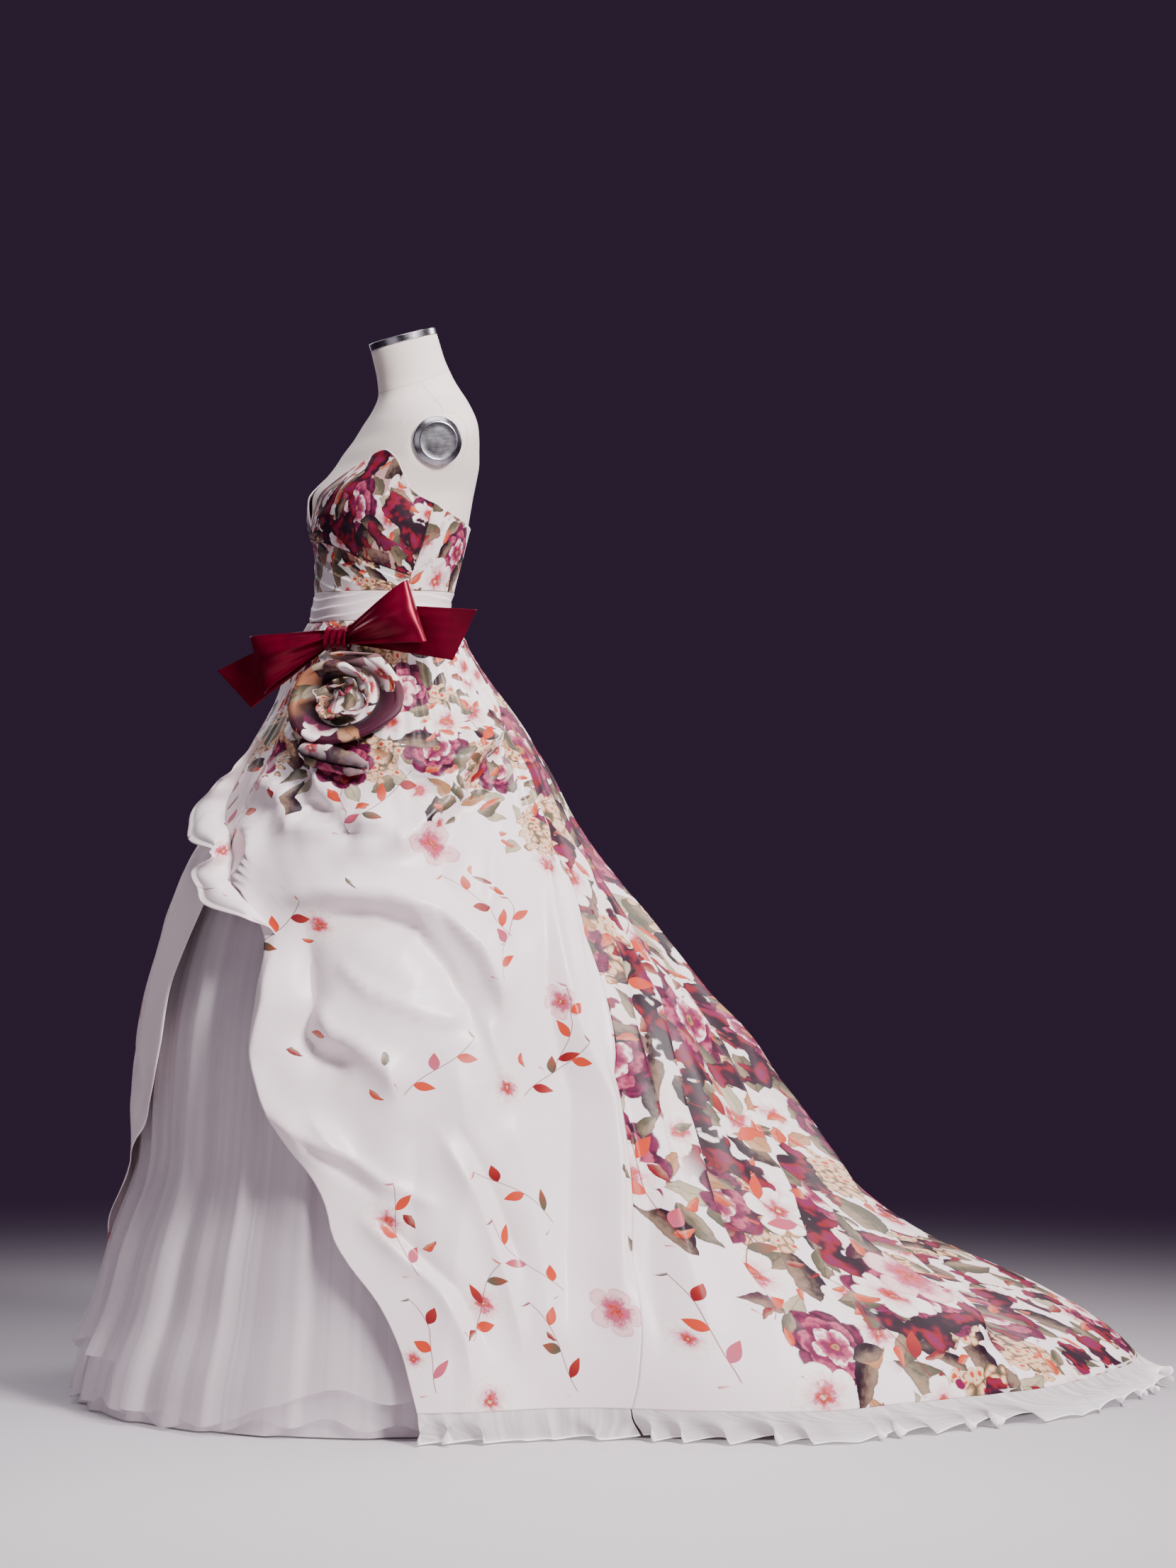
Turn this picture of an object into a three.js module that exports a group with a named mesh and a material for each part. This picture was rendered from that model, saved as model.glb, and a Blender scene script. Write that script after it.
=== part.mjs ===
import * as THREE from 'three';

// A strapless ball gown with a printed train, resting on a limbless dress form and its stand.
// Millimetres, +Z up, the form faces -Y and its left side is +X. The origin is on the floor,
// on the axis of the pole.

// Driving dimensions
const WAIST_Z = 1215;        // top edge of the skirt layers
const BAND_TOP_Z = 1262;     // top edge of the waist band
const CLOTH = 2;             // wall of the printed silk panels
const SHEER = 1.2;           // wall of tulle and organza
const RIBBON = 1.6;          // wall of the satin bow
const SEAM = 0.3;            // half the clearance along a seam
const HEM_Z = 46;            // lower edge of the silk, where the organza hem is sewn on
const POLE_R = 13;
const BASE_R = 172;
const BASE_H = 13;
const NECK_TILT = 15.5;      // slope of the neck cap, front lower, degrees
const ARM_PLATE_X = 164;     // flat faces of the form under the arm plates
const BOW_ANGLE = 50;        // direction that the bow faces, degrees from the front
const BOW_Z = 1188;
const ROSETTE_ANGLE = 57;
const ROSETTE_Z = 1093;

const RAD = Math.PI / 180;
const clamp01 = (t) => Math.min(1, Math.max(0, t));
const smooth = (t) => clamp01(t) ** 2 * (3 - 2 * clamp01(t));
const mix = (a, b, t) => a + (b - a) * t;

// Linear look-up in a table of rows [key, value, ...], keys rising or falling.
function look(table, key, column = 1) {
  const rising = table[1][0] > table[0][0];
  for (let i = 0; i < table.length - 1; i += 1) {
    const [a, b] = [table[i][0], table[i + 1][0]];
    if (rising ? key <= b : key >= b) {
      return mix(table[i][column], table[i + 1][column], clamp01((key - a) / (b - a)));
    }
  }
  return table[table.length - 1][column];
}

const materials = {
  form: new THREE.MeshStandardMaterial({ color: 0xede4e0, roughness: 0.75, metalness: 0 }),
  steel: new THREE.MeshStandardMaterial({ color: 0x9b9aa0, roughness: 0.3, metalness: 1 }),
  stand: new THREE.MeshStandardMaterial({ color: 0x8a898e, roughness: 0.35, metalness: 1 }),
  print: new THREE.MeshStandardMaterial({ color: 0xc79a98, roughness: 0.55, metalness: 0 }),
  silk: new THREE.MeshStandardMaterial({ color: 0xf1e6e6, roughness: 0.5, metalness: 0 }),
  tulle: new THREE.MeshStandardMaterial({ color: 0xf0eaec, roughness: 0.8, metalness: 0 }),
  organza: new THREE.MeshStandardMaterial({ color: 0xefe4e4, roughness: 0.6, metalness: 0 }),
  satin: new THREE.MeshStandardMaterial({ color: 0x7a0f28, roughness: 0.38, metalness: 0 }),
};

const gown = new THREE.Group();

function addMesh(name, geometry, material) {
  const mesh = new THREE.Mesh(geometry, materials[material]);
  mesh.name = name;
  gown.add(mesh);
  return mesh;
}

function geometryOf(points, triangles) {
  const geometry = new THREE.BufferGeometry();
  const flat = new Float32Array(points.length * 3);
  points.forEach((p, i) => p.toArray(flat, i * 3));
  geometry.setAttribute('position', new THREE.BufferAttribute(flat, 3));
  geometry.setIndex(triangles);
  return geometry;
}

// A cloth wall. at(u, v) gives the outer face for u and v from 0 to 1, with the outside on the
// side of du x dv. The inner face lies `thickness` behind it. A ring closes on itself in u.
function clothWall(at, columns, rows, thickness, ring = false) {
  const e = 1e-3;
  const count = ring ? columns : columns + 1;
  const outer = [];
  const inner = [];
  for (let j = 0; j <= rows; j += 1) {
    for (let i = 0; i < count; i += 1) {
      const [u, v] = [i / columns, j / rows];
      const wrap = (t) => (ring ? (t + 1) % 1 : clamp01(t));
      const du = at(wrap(u + e), v).sub(at(wrap(u - e), v));
      const dv = at(u, clamp01(v + e)).sub(at(u, clamp01(v - e)));
      const normal = du.cross(dv).normalize();
      const p = at(u, v);
      outer.push(p);
      inner.push(p.clone().addScaledVector(normal, -thickness));
    }
  }
  const shift = outer.length;
  const index = [];
  const id = (i, j) => j * count + (i % count);
  const quad = (a, b, c, d) => index.push(a, b, c, a, c, d);
  for (let j = 0; j < rows; j += 1) {
    for (let i = 0; i < columns; i += 1) {
      const [a, b, c, d] = [id(i, j), id(i + 1, j), id(i + 1, j + 1), id(i, j + 1)];
      quad(a, b, c, d);
      quad(a + shift, d + shift, c + shift, b + shift);
    }
    if (!ring) {
      quad(id(0, j), id(0, j + 1), id(0, j + 1) + shift, id(0, j) + shift);
      quad(id(columns, j), id(columns, j) + shift,
        id(columns, j + 1) + shift, id(columns, j + 1));
    }
  }
  for (let i = 0; i < columns; i += 1) {
    quad(id(i, 0), id(i, 0) + shift, id(i + 1, 0) + shift, id(i + 1, 0));
    quad(id(i, rows), id(i + 1, rows), id(i + 1, rows) + shift, id(i, rows) + shift);
  }
  return geometryOf([...outer, ...inner], index);
}

// ---- The form ----

// Sections of the body: height, half width, half depth, centre Y.
const BODY = [
  [930, 160, 114, 5], [1020, 173, 126, 0], [1080, 166, 128, -2], [1150, 143, 119, -5],
  [1180, 131, 112, -6], [1215, 119, 105, -7], [1238, 117, 104, -8], [1262, 117, 105, -3],
  [1290, 121, 108, 1], [1327, 133, 113, 6], [1360, 142, 120, 7], [1394, 147, 124, 9],
  [1417, 150, 125, 12], [1439, 158, 119, 22], [1462, 168, 111, 33], [1484, 176, 103, 40],
  [1506, 178, 94, 48], [1529, 163, 86, 54], [1551, 123, 77, 58], [1573, 73, 69, 58],
  [1596, 54, 61, 49], [1618, 50, 55, 41], [1660, 48, 52, 29],
];

// A point on the body, `off` outside it, at an angle from the front.
function bodyPoint(angle, z, off = 0) {
  const [a, b, yc] = [1, 2, 3].map((c) => look(BODY, z, c));
  const [s, c] = [Math.sin(angle * RAD), Math.cos(angle * RAD)];
  const normal = new THREE.Vector2(s / a, -c / b).normalize();
  return new THREE.Vector3(a * s + normal.x * off, yc - b * c + normal.y * off, z);
}

function bodyGeometry() {
  const columns = 32;
  const points = [];
  const index = [];
  BODY.forEach(([z, , , yc]) => {
    for (let i = 0; i < columns; i += 1) {
      const p = bodyPoint(360 * i / columns, z);
      p.x = Math.min(ARM_PLATE_X, Math.max(-ARM_PLATE_X, p.x));
      p.z += (p.y - yc) * Math.tan(NECK_TILT * RAD) * smooth((z - 1573) / 70);
      points.push(p);
    }
  });
  const rows = BODY.length - 1;
  for (let j = 0; j < rows; j += 1) {
    for (let i = 0; i < columns; i += 1) {
      const [a, b] = [j * columns + i, j * columns + (i + 1) % columns];
      index.push(a, b, b + columns, a, b + columns, a + columns);
    }
  }
  [[0, 1], [rows, -1]].forEach(([row, turn]) => {
    const centre = points.length;
    const ring = points.slice(row * columns, (row + 1) * columns);
    const middle = ring.reduce((sum, p) => sum.add(p), new THREE.Vector3());
    points.push(middle.divideScalar(columns));
    for (let i = 0; i < columns; i += 1) {
      const [a, b] = [row * columns + i, row * columns + (i + 1) % columns];
      index.push(...(turn > 0 ? [b, a, centre] : [a, b, centre]));
    }
  });
  return geometryOf(points, index);
}

// A turned solid: the profile of [radius, height] pairs starts and ends on the axis.
function turned(profile, segments) {
  const points = profile.map(([r, h]) => new THREE.Vector2(r, h));
  const geometry = new THREE.LatheGeometry(points, segments);
  geometry.rotateX(Math.PI / 2);
  return geometry;
}

addMesh('form_torso', bodyGeometry(), 'form');

const neckCap = addMesh('form_neck_cap', turned([
  [0, 0], [50.5, 0], [50.5, 9], [49, 10.5], [46, 10.5], [45, 9.5], [0, 9.5],
], 28), 'steel');
neckCap.scale.set(0.98, 1.08, 1);
neckCap.rotation.x = NECK_TILT * RAD;
neckCap.position.set(0, 29 - 0.4 * Math.sin(NECK_TILT * RAD), 1660.4);

[['left', 1], ['right', -1]].forEach(([side, sign]) => {
  const plate = addMesh(`form_arm_plate_${side}`, turned([
    [0, 0], [38.5, 0], [38.5, 4.5], [37, 7], [29.5, 10], [28.5, 9.4], [0, 9.4],
  ], 28), 'steel');
  plate.rotation.y = sign * Math.PI / 2;
  plate.position.set(sign * (ARM_PLATE_X + 0.3), 45, 1491);
});

const base = turned([
  [0, 0], [BASE_R, 0], [BASE_R, BASE_H - 4], [BASE_R - 5, BASE_H], [27, BASE_H + 5],
  [25, BASE_H + 50], [POLE_R + 0.4, BASE_H + 50], [POLE_R + 0.4, BASE_H], [0, BASE_H],
], 28);
addMesh('stand_base', base, 'stand');
const poleBottom = BASE_H + 0.3;
const poleTop = BODY[0][0] - 0.3;
const pole = new THREE.CylinderGeometry(POLE_R, POLE_R, poleTop - poleBottom, 16);
pole.rotateX(Math.PI / 2);
addMesh('stand_pole', pole, 'stand').position.z = (poleTop + poleBottom) / 2;

// ---- The bodice ----

// Top edge of the bodice and lower edge of the cups: angle from the front, height.
const NECKLINE = [
  [0, 1367], [8, 1392], [16, 1415], [25, 1440], [35, 1466], [44, 1478], [55, 1468],
  [70, 1440], [85, 1412], [105, 1393], [130, 1375], [155, 1364], [180, 1360],
];
// The second runs over the share of the way from the centre front to the side seam.
const CUP_BASE = [[0, 1345], [0.2, 1337], [0.45, 1322], [0.7, 1303], [0.95, 1288], [1, 1286]];
const sideSeam = (z) => 95 + (z - 1270) * 0.086;
const seamAngle = 0.28;

[['left', 1], ['right', -1]].forEach(([side, sign]) => {
  // du x dv must face out on both sides, so u runs the same way round on each.
  const along = (u) => (sign > 0 ? u : 1 - u);
  addMesh(`bodice_cup_${side}`, clothWall((u, v) => {
    const share = along(u);
    const z = mix(look(CUP_BASE, share) + SEAM, look(NECKLINE, share * 100), v);
    const angle = mix(seamAngle, sideSeam(z) - seamAngle, share);
    const full = Math.sin(Math.PI * share) ** 0.7 * Math.sin(Math.PI * v);
    const pleat = 1.3 * Math.cos(v * Math.PI * 6) * Math.sin(Math.PI * share);
    return bodyPoint(sign * angle, z, 5.7 + 6 * full + pleat * Math.sin(Math.PI * v));
  }, 10, 8, CLOTH), 'print');

  addMesh(`bodice_back_${side}`, clothWall((u, v) => {
    const guess = mix(sideSeam(1330), 180, along(u));
    const z = mix(BAND_TOP_Z + 2 * SEAM, look(NECKLINE, guess), v);
    const angle = mix(sideSeam(z) + seamAngle, 180 - seamAngle, along(u));
    return bodyPoint(sign * angle, z, 3.9);
  }, 8, 5, CLOTH), 'print');
});

addMesh('bodice_midriff', clothWall((u, v) => {
  const reach = 2 * u - 1;
  const z = mix(BAND_TOP_Z + 2 * SEAM, look(CUP_BASE, Math.abs(reach)) - SEAM, v);
  const angle = reach * (sideSeam(z) - seamAngle);
  const pleat = 1.2 * (1 - Math.cos(v * Math.PI * 8)) * Math.sin(Math.PI * u) ** 0.5;
  return bodyPoint(angle, z, 3.6 + pleat);
}, 20, 8, CLOTH), 'print');

addMesh('waist_band', clothWall((u, v) => {
  const z = mix(WAIST_Z + 0.5, BAND_TOP_Z, v);
  return bodyPoint(360 * u, z, mix(8, 3.8, smooth(v * 1.4)));
}, 36, 2, CLOTH, true), 'silk');

// ---- The skirt layers ----

// Radius of each layer from the pole axis: height, front, side, back. The first row only
// closes the table, because the layers start on the body at the waist.
const OVERSKIRT = [
  [1215, 120, 126, 118], [1180, 136, 148, 126], [1150, 150, 165, 143], [1080, 177, 200, 196],
  [990, 230, 245, 250], [900, 278, 290, 287], [810, 323, 335, 336], [720, 355, 367, 400],
  [600, 385, 398, 488], [480, 396, 416, 578], [364, 403, 440, 690], [250, 450, 468, 845],
  [150, 490, 493, 1070], [80, 515, 515, 1190], [0, 538, 532, 1285],
];
const TULLE = [
  [1215, 118, 124, 116], [1180, 131, 143, 121], [1150, 144, 159, 136], [1080, 167, 190, 180],
  [990, 216, 230, 232], [900, 262, 272, 268], [810, 305, 315, 312], [720, 338, 348, 350],
  [600, 368, 376, 385], [480, 380, 394, 410], [364, 388, 415, 430], [250, 430, 440, 455],
  [150, 460, 462, 475], [80, 494, 484, 490], [0, 515, 500, 505],
];

// How far the hem reaches along the floor: angle from the front, reach.
const HEM = [
  [0, 538], [60, 534], [90, 540], [113, 605], [127, 828], [139, 928], [148, 1040],
  [159, 1160], [170, 1245], [180, 1285],
];

const fold180 = (angle) => Math.abs(((angle + 180) % 360 + 360) % 360 - 180);

function radiusOf(table, angle, z) {
  const side = Math.sin(Math.min(90, fold180(angle)) * RAD) ** 2;
  const front = mix(look(table, z, 1), look(table, z, 2), side);
  const back = clamp01((look(HEM, fold180(angle)) - 538) / (1285 - 538));
  return mix(front, look(table, z, 3), back);
}

// Long ridges of the train: angle at the floor, how far each one leans back per metre of
// height, how far it stands out, half width in degrees.
const RIDGES = [
  [117, 24, 20, 4.5], [128, 34, 30, 5], [138, 44, 32, 5], [150, 30, 26, 5], [166, 10, 28, 6],
];

function ridgeHeight(angle, z) {
  const low = smooth((1120 - z) / 700) * smooth(z / 130 + 0.12);
  const a = fold180(angle);
  return RIDGES.reduce((sum, [floor, lean, height, half]) => {
    const centre = Math.min(176, floor + lean * z / 1000);
    return sum + low * height * Math.exp(-(((a - centre) / half) ** 2));
  }, 0);
}

function polar(angle, radius, z) {
  return new THREE.Vector3(radius * Math.sin(angle * RAD), -radius * Math.cos(angle * RAD), z);
}

function overskirtPoint(angle, z, off = 0) {
  if (z > 1180) {
    const t = (z - 1180) / (WAIST_Z - 1180);
    return polar(angle, radiusOf(OVERSKIRT, angle, 1180) + off, z)
      .lerp(bodyPoint(angle, z, 8.5 + off), t);
  }
  return polar(angle, radiusOf(OVERSKIRT, angle, z) + ridgeHeight(angle, z) + off, z);
}

// Heights of the rows of the silk panels.
const ROWS = [
  1215, 1180, 1150, 1080, 990, 855, 720, 600, 480, 364, 250, 150, 80, HEM_Z,
].reverse();

// Edges of the panels: height, angle from the front.
const LEFT_EDGE = [
  [1215, 23.5], [850, 23.5], [780, 44], [720, 49], [570, 48], [460, 54], [357, 66], [274, 68],
  [235, 74], [150, 80], [0, 84],
];
const RIGHT_EDGE = [
  [1215, 23.5], [790, 23], [670, 16], [570, 17], [470, 13], [400, 0], [350, -15], [200, -30],
  [0, -42],
];
const trainSeam = (z) => 113 + 26 * z / 1000;
const backSeam = (z) => 148 + 14 * z / 1000;

// A silk panel between two edges, each a function of height that gives an angle.
function silkPanel(name, from, to, columns, material) {
  const at = (u, v) => {
    const k = v * (ROWS.length - 1);
    const j = Math.min(ROWS.length - 2, Math.floor(k));
    const z = mix(ROWS[j], ROWS[j + 1], k - j);
    const middle = overskirtPoint((from(z) + to(z)) / 2, z);
    const gap = SEAM / Math.hypot(middle.x, middle.y) / RAD;
    return overskirtPoint(mix(from(z) + gap, to(z) - gap, u), z);
  };
  addMesh(name, clothWall(at, columns, ROWS.length - 1, CLOTH), material);
}

silkPanel('overskirt_left', (z) => look(LEFT_EDGE, z), trainSeam, 14, 'silk');
silkPanel('overskirt_right', (z) => -trainSeam(z), (z) => look(RIGHT_EDGE, z), 17, 'silk');
silkPanel('train_left', trainSeam, backSeam, 9, 'print');
silkPanel('train_centre', backSeam, (z) => 360 - backSeam(z), 13, 'print');
silkPanel('train_right', (z) => 360 - backSeam(z), (z) => 360 - trainSeam(z), 9, 'print');

// Full rings of net under the silk: inset from the tulle table, hem height, pleats, depth of
// the pleats at the hem, clearance from the body at the waist.
const NETS = [
  ['organza_petticoat', 34, 2, 12, 7, 2.1, 'organza'],
  ['tulle_inner', 17, 16, 12, 6, 3.7, 'tulle'],
  ['tulle_outer', 0, 62, 12, 6, 5.3, 'tulle'],
];
const NET_ROWS = [1215, 1180, 1080, 840, 600, 364, 0];

NETS.forEach(([name, inset, hem, pleats, depth, waist, material]) => {
  const heights = [...NET_ROWS.slice(0, -1), hem].reverse();
  addMesh(name, clothWall((u, v) => {
    const angle = 360 * u;
    const k = v * (heights.length - 1);
    const j = Math.min(heights.length - 2, Math.floor(k));
    const z = mix(heights[j], heights[j + 1], k - j);
    const low = smooth((1180 - z) / 900);
    const wave = depth * low * Math.sin(angle * RAD * pleats);
    const spread = inset * mix(0.22, 1, smooth((1180 - z) / 300));
    const body = bodyPoint(angle, Math.max(z, 1180), waist);
    if (z >= 1180) {
      const under = polar(angle, radiusOf(TULLE, angle, 1180) - spread, z);
      return under.lerp(body, (z - 1180) / (WAIST_Z - 1180));
    }
    return polar(angle, radiusOf(TULLE, angle, z) - spread + wave, z);
  }, 36, heights.length - 1, SHEER, true), material);
});

// ---- The organza hem ----

// A frill sewn under the lower edge of the silk: it hangs to the floor and lies out on it.
function hemFrill(name, from, to, columns, waves) {
  addMesh(name, clothWall((u, v) => {
    const angle = mix(from, to, u);
    const reach = clamp01((look(HEM, fold180(angle)) - 538) / (1285 - 538));
    const top = overskirtPoint(angle, HEM_Z);
    const radius = Math.hypot(top.x, top.y);
    const phase = u * waves * 2 * Math.PI;
    const low = 1 - v;
    const swing = 7 * Math.sin(phase) * smooth(low * 1.2);
    const out = mix(14, 52, reach) * low ** 1.2;
    const floor = 2.2 + mix(3, 9, reach) * (1 + Math.cos(phase)) * 0.5 * low;
    const seam = HEM_Z - mix(2 * SEAM, 2.6, reach);
    return polar(angle, radius + out + swing, mix(floor, seam, v ** 1.25));
  }, columns, 2, SHEER), 'organza');
}

const hemFrom = look(LEFT_EDGE, HEM_Z) + 0.1;
const hemMid = trainSeam(HEM_Z);
hemFrill('hem_frill_left', hemFrom, hemMid - 0.05, 21, 7);
hemFrill('hem_frill_train', hemMid + 0.05, 360 - hemMid - 0.05, 90, 30);
hemFrill('hem_frill_right', -hemMid + 0.05, look(RIGHT_EDGE, HEM_Z) - 0.1, 42, 14);

// ---- The rosette ----

// A point on the left panel's own facets, `off` outside it.
function onPanel(angle, z, off) {
  return overskirtPoint(angle, z, off);
}

// The swirl: a strip that stands on the panel along a spiral and leans out at its rim.
addMesh('rosette', clothWall((u, v) => {
  const turn = u * 2.15 * 2 * Math.PI + 0.9;
  const r = mix(13, 1, 0) + mix(0, 63, u ** 0.85);
  const [s, t] = [Math.cos(turn), Math.sin(turn)];
  const tall = mix(40, 30, u) * mix(1, 0.6, smooth(t)) + 6 * Math.sin(turn * 2.5);
  const lean = mix(2, 13, u) * v ** 2;
  const curl = 1 - 0.25 * v ** 3;
  const height = 1.5 + tall * v * curl;
  const z = ROSETTE_Z + (r + lean) * t * 0.82;
  const body = onPanel(ROSETTE_ANGLE, z, 0);
  const around = (r + lean) * s / Math.hypot(body.x, body.y) / RAD;
  return onPanel(ROSETTE_ANGLE + around, z, height);
}, 50, 3, CLOTH), 'print');

// The curled end of the swirl, lying below it.
addMesh('rosette_tail', clothWall((u, v) => {
  const roll = mix(-0.55, 1.15, v) * Math.PI;
  const angle = mix(47, 71, u);
  const radius = mix(15, 21, Math.sin(Math.PI * u));
  const z = mix(1008, 990, u) + radius * Math.cos(roll);
  return onPanel(angle, z, 20.8 - radius * Math.sin(roll));
}, 7, 7, CLOTH), 'print');

// The curled edge at the top of the opening: it stands on the panels along a winding line.
// Columns: height, angle of the line, how far it stands out.
const CASCADE = [
  [1030, 9, 10], [985, 4, 30], [930, 8, 44], [870, 20, 46], [820, 30, 46], [775, 36, 44],
  [735, 45, 12],
];

addMesh('front_cascade', clothWall((u, v) => {
  const z = mix(735, 1030, u);
  const wind = 5 * Math.sin(u * 2.5 * 2 * Math.PI) * Math.sin(Math.PI * u);
  const angle = look(CASCADE, z) + wind;
  const out = look(CASCADE, z, 2);
  const lean = -5 * v ** 2 * (1 + 0.6 * Math.sin(u * 2.5 * 2 * Math.PI));
  return overskirtPoint(angle + lean, z, 1.2 + out * v);
}, 26, 3, CLOTH), 'silk');

// ---- The bow ----

const bowNormal = polar(BOW_ANGLE, 1, 0);
const bowAlong = new THREE.Vector3(-bowNormal.y, bowNormal.x, 0);
const KNOT = { halfWidth: 19, halfHeight: 19, halfDepth: 14 };

// Distance from the pole axis to the middle of the knot, so that its back lies on the skirt.
let bowReach = 0;
for (let a = 0; a <= 60; a += 1) {
  const turn = a * Math.PI / 60;
  const z = BOW_Z + KNOT.halfHeight * Math.cos(turn);
  const back = overskirtPoint(BOW_ANGLE, z).dot(bowNormal) + KNOT.halfDepth * Math.sin(turn);
  bowReach = Math.max(bowReach, back + 0.6);
}

const bowPoint = (along, up, out) => new THREE.Vector3(0, 0, BOW_Z + up)
  .addScaledVector(bowNormal, bowReach + out).addScaledVector(bowAlong, along);

// Corners in the plane of the bow, as [along, up], at the knot and at the far end.
const BOW_PIECES = {
  left: {
    loop: { knot: [[-12, 12.2], [-12, -10.4]], end: [[-156, 4], [-130, -86]] },
    tail: { knot: [[-5, 8], [-5, -2]], end: [[-222, -48], [-158, -108]], wide: [-150, -4] },
  },
  right: {
    loop: { knot: [[12, 9.8], [12, -10.6]], end: [[120, 87], [154, -9]] },
    tail: { knot: [[5, 5.8], [5, -7.6]], end: [[233, 40], [194, -37]], wide: [120, 48] },
  },
};

addMesh('bow_knot', clothWall((u, v) => {
  const turn = 2 * Math.PI * u;
  const waist = 1 - 0.12 * Math.sin(Math.PI * v);
  return bowPoint(mix(KNOT.halfWidth, -KNOT.halfWidth, v),
    KNOT.halfHeight * waist * Math.sin(turn), KNOT.halfDepth * Math.cos(turn));
}, 14, 2, RIBBON, true), 'satin');

Object.entries(BOW_PIECES).forEach(([side, { loop, tail }]) => {
  const front = side === 'right';
  addMesh(`bow_loop_${side}`, clothWall((u, v) => {
    const turn = 2 * Math.PI * (front ? u : 1 - u);
    const far = (1 - Math.cos(turn)) / 2;
    const edge = (k) => [0, 1].map((c) => mix(loop.knot[k][c], loop.end[k][c], far));
    const [top, low] = [edge(0), edge(1)];
    const round = Math.sin(turn);
    const out = (round > 0 ? 22 : 8) * round * mix(0.32, 1, far);
    return bowPoint(mix(low[0], top[0], v), mix(low[1], top[1], v), out);
  }, 14, 3, RIBBON, true), 'satin');

  addMesh(`bow_tail_${side}`, clothWall((u, v) => {
    const k = front ? u : 1 - u;
    const edge = (i) => [0, 1].map((c) => mix(tail.knot[i][c], tail.end[i][c], k));
    const [top, low] = [edge(0), edge(1)];
    top[1] += (1 - Math.abs(2 * k - 1)) * (tail.wide[1] - (tail.knot[0][1] + tail.end[0][1]) / 2);
    return bowPoint(mix(low[0], top[0], v), mix(low[1], top[1], v),
      -6.2 - 2.2 * clamp01(k * 4) + 2.5 * Math.sin(k * 9 + v * 2) * k);
  }, 8, 2, RIBBON), 'satin');
});

export default gown;
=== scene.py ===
import math
import bpy
import bmesh
import numpy as np
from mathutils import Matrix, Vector


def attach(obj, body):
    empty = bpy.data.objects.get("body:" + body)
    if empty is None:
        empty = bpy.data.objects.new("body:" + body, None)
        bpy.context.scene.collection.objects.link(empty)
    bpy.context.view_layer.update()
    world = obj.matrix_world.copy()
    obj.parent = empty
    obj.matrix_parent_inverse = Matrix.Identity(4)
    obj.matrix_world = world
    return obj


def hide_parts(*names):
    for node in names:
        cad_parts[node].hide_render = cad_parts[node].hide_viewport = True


# A printed ball gown on a dress form, in millimetres and degrees until a mesh is written in metres.
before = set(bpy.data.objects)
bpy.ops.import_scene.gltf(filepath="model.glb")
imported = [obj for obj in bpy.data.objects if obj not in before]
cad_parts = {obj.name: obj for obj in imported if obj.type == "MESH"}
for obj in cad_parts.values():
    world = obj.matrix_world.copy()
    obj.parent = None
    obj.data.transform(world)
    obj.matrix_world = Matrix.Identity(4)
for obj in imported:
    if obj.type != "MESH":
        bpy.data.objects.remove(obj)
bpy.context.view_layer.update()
scene = bpy.context.scene
bpy.ops.object.select_all(action="DESELECT")
print("frame loaded:", len(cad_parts), "nodes")

# camera, floor and lamps, in metres
studio = {
    "camera": (6.361, -1.374, 0.962),
    "azimuth": 75.0,
    "lens": 94.47,
    "floor": (0.66, 0.62, 0.66),
    "floorRadius": 5.5,
    "backdrop": (0.0285, 0.0148, 0.0350),
    # a pool of light painted on the floor: its middle, how far it reaches and how fast it falls off
    "paintedPoolAt": (0.77, -0.21, 0.0),
    "paintedPoolReach": (0.2, 4.4),
    "paintedPoolFall": 1.9,
    "lampsAim": (0, 0.2, 0.8),
}
# each lamp: how far towards the camera, to its right and up, then size, power and colour
lamps = {
    "keyLamp": (3.0, 2.7, 3.6, 1.0, 455, (1.0, 0.955, 0.955)),
    "fillLamp": (4.2, -2.4, 2.2, 3.2, 34, (0.97, 0.91, 1.0)),
    "backLamp": (-1.6, 2.6, 2.6, 1.2, 50, (1.0, 0.96, 0.97)),
    "rearLamp": (-2.8, -1.6, 2.8, 2.4, 44, (0.95, 0.93, 1.0)),
    "topLamp": (0.4, 0.4, 4.0, 2.2, 80, (1.0, 0.97, 0.99)),
}


def plainMaterial(name, colour, roughness=0.6, metallic=0.0):
    mat = bpy.data.materials.new(name)
    mat.use_nodes = True
    shader = mat.node_tree.nodes["Principled BSDF"]
    shader.inputs["Base Color"].default_value = (*colour, 1)
    shader.inputs["Roughness"].default_value = roughness
    shader.inputs["Metallic"].default_value = metallic
    return mat


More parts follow.
